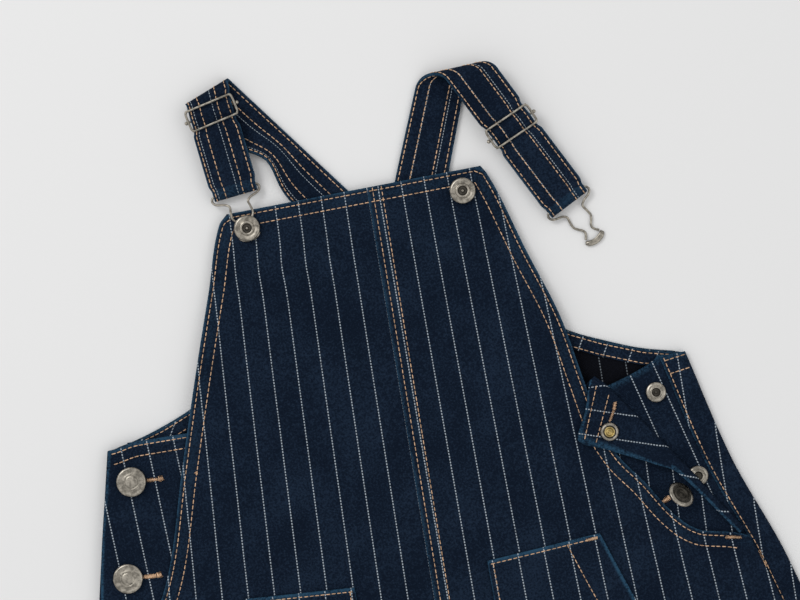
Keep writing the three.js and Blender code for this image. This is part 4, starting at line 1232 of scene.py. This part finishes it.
class SKIRT_OT_hardware(bpy.types.Operator):
    """Bend the sliders and hooks, and press the hooks' end plates"""

    bl_idname = "skirt.hardware"
    bl_label = "Sliders and hooks"

    def execute(self, context):
        nickel = finish_of("nickel")
        for side in STRAPS:
            strap = Strap(side)
            e, w, r = SLIDER_HALF, SLIDER_RAIL, 1.9
            quarter = [(e, w - r), (e - 0.3 * r, w - 0.3 * r), (e - r, w)]
            back = [(-pe, pw) for pe, pw in quarter[::-1]]
            loop = [(e, 0), *quarter, (0, w), *back, (-e, 0)]
            loop += [(pe, -pw) for pe, pw in back[::-1]] + [(0, -w)] + [(pe, -pw) for pe, pw in quarter[::-1]]
            points = [strap.slider_place(pe, pw, STRAP / 2 + 0.45 + WIRE) for pe, pw in loop]
            rails = tube(f"slider_{side}_wire", points, WIRE, nickel, closed=True)
            keep_piece(rails, [f"slider_{side}"])
            under = SLIDER_BUMP - STRAP / 2 - GAP - WIRE
            ends = [Vector(strap.slider_place(0, way, under)) for way in (-1, 1)]
            turn = (ends[1] - ends[0]).to_track_quat("Z", "Y").to_matrix().to_4x4()
            place = Matrix.Translation((ends[0] + ends[1]) / 2) @ turn
            ball_at, ball = SLIDER_RAIL + 1.3, 1.1
            neck = math.sqrt(ball**2 - WIRE**2)
            sweep = np.linspace(math.atan2(WIRE, -neck), 0.05, 9)
            arc = [(ball * math.sin(a), ball_at + ball * math.cos(a)) for a in sweep]
            profile = [(0, -ball_at - ball), *[(pr, -pz) for pr, pz in arc[::-1]], *arc, (0, ball_at + ball)]
            pin = turned(f"slider_bar_{side}_pin", profile, place, nickel, 20)
            keep_piece(pin, [f"slider_bar_{side}"])
            hook = strap.hook_place()
            wire = [hook(a, h) for a, h in HOOK_WIRE] + [hook(a, -h) for a, h in HOOK_WIRE[::-1]]
            keep_piece(tube(f"hook_{side}_wire", wire, WIRE, nickel), [f"hook_{side}"])
            keep_piece(self.plate(side, hook, nickel), [f"hook_plate_{side}"])
        return {"FINISHED"}

    @staticmethod
    def plate(side, hook, material):
        """Crescent end plate with a notched top, softly crowned."""
        start, notch, to, half = PLATE["from"], PLATE["notch"], PLATE["to"], PLATE["half"]
        ring = []
        for t in np.linspace(-1, 1, 25):
            ring.append((start + (notch - start) * (1 - abs(t) ** 1.6), t * (half - 1.2)))
        for t in np.linspace(0, math.pi, 31)[1:-1]:
            ring.append((start + 0.6 + (to - start - 0.6) * math.sin(t) ** 0.8, half * math.cos(t)))
        ring = np.array(ring)
        centre = ring.mean(0)
        points, faces = [], []
        for scale, z in ((1, 0), (1.0, 0.9), (0.86, 1.3), (0.4, 1.36)):
            points += [hook(*(centre + (p - centre) * scale), z - WIRE) for p in ring]
        count = len(ring)
        for low in (0, count, 2 * count):
            for k in range(count):
                n = (k + 1) % count
                faces.append((low + k, low + n, low + count + n, low + count + k))
        faces.append(tuple(range(count))[::-1])
        faces.append(tuple(range(3 * count, 4 * count)))
        return mesh_object(f"hook_plate_{side}_metal", np.array(points), faces, [material])


# ---- Buttons ------------------------------------------------------------------------------------


def button_profile(size, post, post_radius):
    """Post, rolled rim, raised ring and a hole with a pip, from the base up and in."""
    r = size / 2
    rim = [
        (r - 0.5, 0), (r - 0.1, 0.2), (r, 0.55), (r - 0.15, 0.95), (r - 0.5, 1.3), (r - 1.1, 1.55),
    ]
    face = [
        (0.76, 1.5), (0.66, 1.3), (0.6, 1.2), (0.575, 1.35), (0.54, 1.8), (0.47, 2.0), (0.39, 1.85),
        (0.34, 1.3), (0.32, 0.75), (0.15, 0.7), (0.13, 1.1), (0.08, 1.35), (0, 1.4),
    ]
    head = rim + [(r * share, z) for share, z in face]
    return [(0, 0), (post_radius, 0), (post_radius, post), *((radius, post + z) for radius, z in head)]


def ring_profile(size, height):
    """Low dome with a raised ring round a hole and its pip."""
    shares = [
        (0, 0), (1, 0), (1, 0.3), (0.95, 0.6), (0.84, 0.85), (0.7, 0.95), (0.66, 0.75), (0.6, 0.8),
        (0.55, 1), (0.44, 1), (0.38, 0.8), (0.35, 0.3), (0.15, 0.25), (0.13, 0.6), (0, 0.62),
    ]
    return [(size / 2 * radius, height * z) for radius, z in shares]


# Side button: post, domed rim, a groove, an inner ring and a plain disc in the middle.
SIDE_PROFILE = [
    (0, 0), (4, 0), (4, 0.6), (7.7, 0.6), (8.15, 0.8), (8.25, 1.15), (8.1, 1.6), (7.7, 1.95), (7.2, 2.1),
    (6.5, 1.95), (5.4, 1.85), (4.7, 1.9), (4.4, 2.2), (4.1, 2.25), (3.8, 2.0), (3.5, 1.95), (3.3, 2.2),
    (2.8, 2.35), (1.5, 2.4), (0, 2.42),
]


class SKIRT_OT_buttons(bpy.types.Operator):
    """Fix the buttons, the studs and the socket"""

    bl_idname = "skirt.buttons"
    bl_label = "Buttons and studs"

    def execute(self, context):
        nickel = finish_of("nickel")
        post = 2 * WIRE + 0.6

        # Dark nickel for the hollows, and for the painted shade on the tilted button's face.
        dark = finish_of("nickel_hollows_and_painted_shade")

        def flat_distance(face, x, y):
            return math.hypot(face.center.x / MM - SHIFT[0] - x, face.center.y / MM - SHIFT[1] - y)

        def dark_well(obj, radius, centre, low, high):
            obj.data.materials.append(dark)
            for face in obj.data.polygons:
                if flat_distance(face, *centre) < radius and low < face.center.z / MM < high:
                    face.material_index = 1

        for name, (x, y) in BIB_BUTTONS.items():
            z = float(front_base(x, y - BIB_TILT * x)) + LAYER + 0.5
            place = Matrix.Translation((x, y, z))
            obj = turned(f"{name}_metal", button_profile(BIB_BUTTON, post, 1.8), place, nickel)
            dark_well(obj, 2.6, (x, y), z + post, z + post + 1.3)
            keep_piece(obj, [name])
        for name, (x, y) in SIDE_BUTTONS.items():
            z = SIDE_Z + LAYER + 0.6
            obj = turned(f"{name}_metal", SIDE_PROFILE, Matrix.Translation((x, y, z)), nickel)
            keep_piece(obj, [name])
        for name, (x, y) in STUDS.items():
            z = UNDERLAY_Z + LAYER + 0.45
            obj = turned(f"{name}_metal", ring_profile(STUD, 1.6), Matrix.Translation((x, y, z)), nickel)
            dark_well(obj, 2.4, (x, y), z, z + 1.5)
            keep_piece(obj, [name])
        x, y = TURNED_BUTTON
        over = SIDE_Z + 2 * FLAP_RADIUS
        cap = [(0, 0), (7.2, 0), (8.1, 0.3), (8.25, 0.6), (8.1, 0.95), (7.6, 1.0), (0, 1.0)]
        lower = Matrix.Translation((x, y, over - GAP - 1.0 - 0.4))
        keep_piece(turned("side_cap_right_upper", cap, lower, nickel), ["side_button_right_upper"])
        upper = Matrix.Translation((x, y, over + LAYER + 0.4))
        obj = turned("side_socket_right_cup", ring_profile(SOCKET, 2.0), upper, nickel)
        obj.data.materials.append(dark)
        obj.data.materials.append(finish_of("brass"))
        for face in obj.data.polygons:
            flat = flat_distance(face, x, y)
            face.material_index = 2 if flat < 2.7 else 1 if flat < 3.5 else 0
        keep_piece(obj, ["side_socket_right_upper"])
        spec = TILTED_BUTTON
        rise = spec["size"] / 2 * math.sin(math.radians(spec["tilt"]))
        place = Matrix.Translation((spec["x"], spec["y"], SIDE_Z + CLOTH + rise + 0.6))
        place @= Matrix.Rotation(math.radians(spec["turn"]), 4, "Z")
        place @= Matrix.Rotation(math.radians(spec["tilt"]), 4, "Y")
        tilted = turned("side_button_right_lower_metal", button_profile(spec["size"], 0.8, 3), place, nickel)
        # Painted shade: everything of the tilted button within its rim is coloured dark nickel, so only the
        # rim stays plain nickel.
        tilted.data.materials.append(dark)
        centre = place.translation
        for face in tilted.data.polygons:
            reach = (Vector(face.center) / MM - Vector(SHIFT) - centre).length
            face.material_index = 1 if reach < spec["size"] / 2 - 1.2 else 0
        keep_piece(tilted, ["side_button_right_lower"])
        return {"FINISHED"}


# ---- Stage --------------------------------------------------------------------------------------


# Half the floor's width and its height in metres: just under the stitches below the straps.
FLOOR_REACH = 3
FLOOR_Z = -0.0004

# Lamps in metres and watts: name, place, width, power.
LAMPS = (
    ("key", (-1.1, 1.3, 1.7), 1.1, 17.0),
    ("fill", (1.4, -0.6, 1.8), 1.6, 5.0),
)


class SKIRT_OT_stage(bpy.types.Operator):
    """Lay the pale surface, hang the lights and set the camera straight above"""

    bl_idname = "skirt.stage"
    bl_label = "Stage"

    def execute(self, context):
        finish = context.scene.skirt_finish
        n = Nodes("pale_surface")
        place = n.add("ShaderNodeTexCoord").outputs["Object"]
        faint = n.add("ShaderNodeTexNoise", {"Vector": place, "Scale": 3.0}).outputs["Fac"]
        n.join(n.blend(faint, tuple(c * 0.995 for c in finish.floor), tuple(finish.floor)), "Base Color")
        n.shader.inputs["Roughness"].default_value = 1.0
        n.shader.inputs["Specular IOR Level"].default_value = 0.0
        mesh = bpy.data.meshes.new("floor")
        ways = ((-1, -1), (1, -1), (1, 1), (-1, 1))
        corners = [(x * FLOOR_REACH, y * FLOOR_REACH, FLOOR_Z) for x, y in ways]
        mesh.from_pydata(corners, [], [(0, 1, 2, 3)])
        mesh.materials.append(n.material)
        floor = bpy.data.objects.new("floor", mesh)
        context.scene.collection.objects.link(floor)
        world = bpy.data.worlds.new("studio")
        context.scene.world = world
        world.use_nodes = True
        world.node_tree.nodes["Background"].inputs[0].default_value = (1.0, 1.0, 1.0, 1)
        world.node_tree.nodes["Background"].inputs[1].default_value = 0.70
        for name, spot, size, power in LAMPS:
            light = bpy.data.lights.new(name, "AREA")
            light.shape = "DISK"
            light.size = size
            light.energy = power
            lamp = bpy.data.objects.new(name, light)
            lamp.location = spot
            lamp.rotation_euler = (Vector((0, 0.1, 0)) - Vector(spot)).to_track_quat("-Z", "Y").to_euler()
            context.scene.collection.objects.link(lamp)
        context.scene.view_settings.view_transform = "Standard"
        lens, sensor, width = 100.0, 36.0, 0.4448
        camera = bpy.data.cameras.new("camera")
        camera.lens = lens
        camera.sensor_width = sensor
        eye = bpy.data.objects.new("camera", camera)
        eye.location = ((8.0 + SHIFT[0]) * MM, (-64.5 + SHIFT[1]) * MM, width * lens / sensor)
        eye.rotation_euler = (0, 0, math.radians(-9.4))
        context.scene.collection.objects.link(eye)
        context.scene.camera = eye
        return {"FINISHED"}


STEPS = (
    SKIRT_OT_stage, SKIRT_OT_back, SKIRT_OT_sides, SKIRT_OT_front, SKIRT_OT_pockets,
    SKIRT_OT_straps, SKIRT_OT_hardware, SKIRT_OT_buttons,
)


class SKIRT_PT_panel(bpy.types.Panel):
    """Sidebar list of the making steps"""

    bl_idname = "SKIRT_PT_panel"
    bl_label = "Overall skirt"
    bl_space_type = "VIEW_3D"
    bl_region_type = "UI"
    bl_category = "Overall skirt"

    def draw(self, context):
        for step in STEPS:
            self.layout.operator(step.bl_idname)
        for group in (context.scene.skirt_cut, context.scene.skirt_finish):
            for name in group.bl_rna.properties.keys():
                if name not in {"rna_type", "name"}:
                    self.layout.prop(group, name)


CLASSES = (SkirtCut, SkirtFinish, *STEPS, SKIRT_PT_panel)


def register():
    for cls in CLASSES:
        bpy.utils.register_class(cls)
    bpy.types.Scene.skirt_cut = bpy.props.PointerProperty(type=SkirtCut)
    bpy.types.Scene.skirt_finish = bpy.props.PointerProperty(type=SkirtFinish)


def unregister():
    del bpy.types.Scene.skirt_cut
    del bpy.types.Scene.skirt_finish
    for cls in reversed(CLASSES):
        bpy.utils.unregister_class(cls)


def main():
    register()
    bpy.ops.skirt.stage()
    bpy.ops.skirt.back()
    bpy.ops.skirt.sides()
    bpy.ops.skirt.front()
    bpy.ops.skirt.pockets()
    bpy.ops.skirt.straps()
    bpy.ops.skirt.hardware()
    bpy.ops.skirt.buttons()


if __name__ == "__main__":
    main()
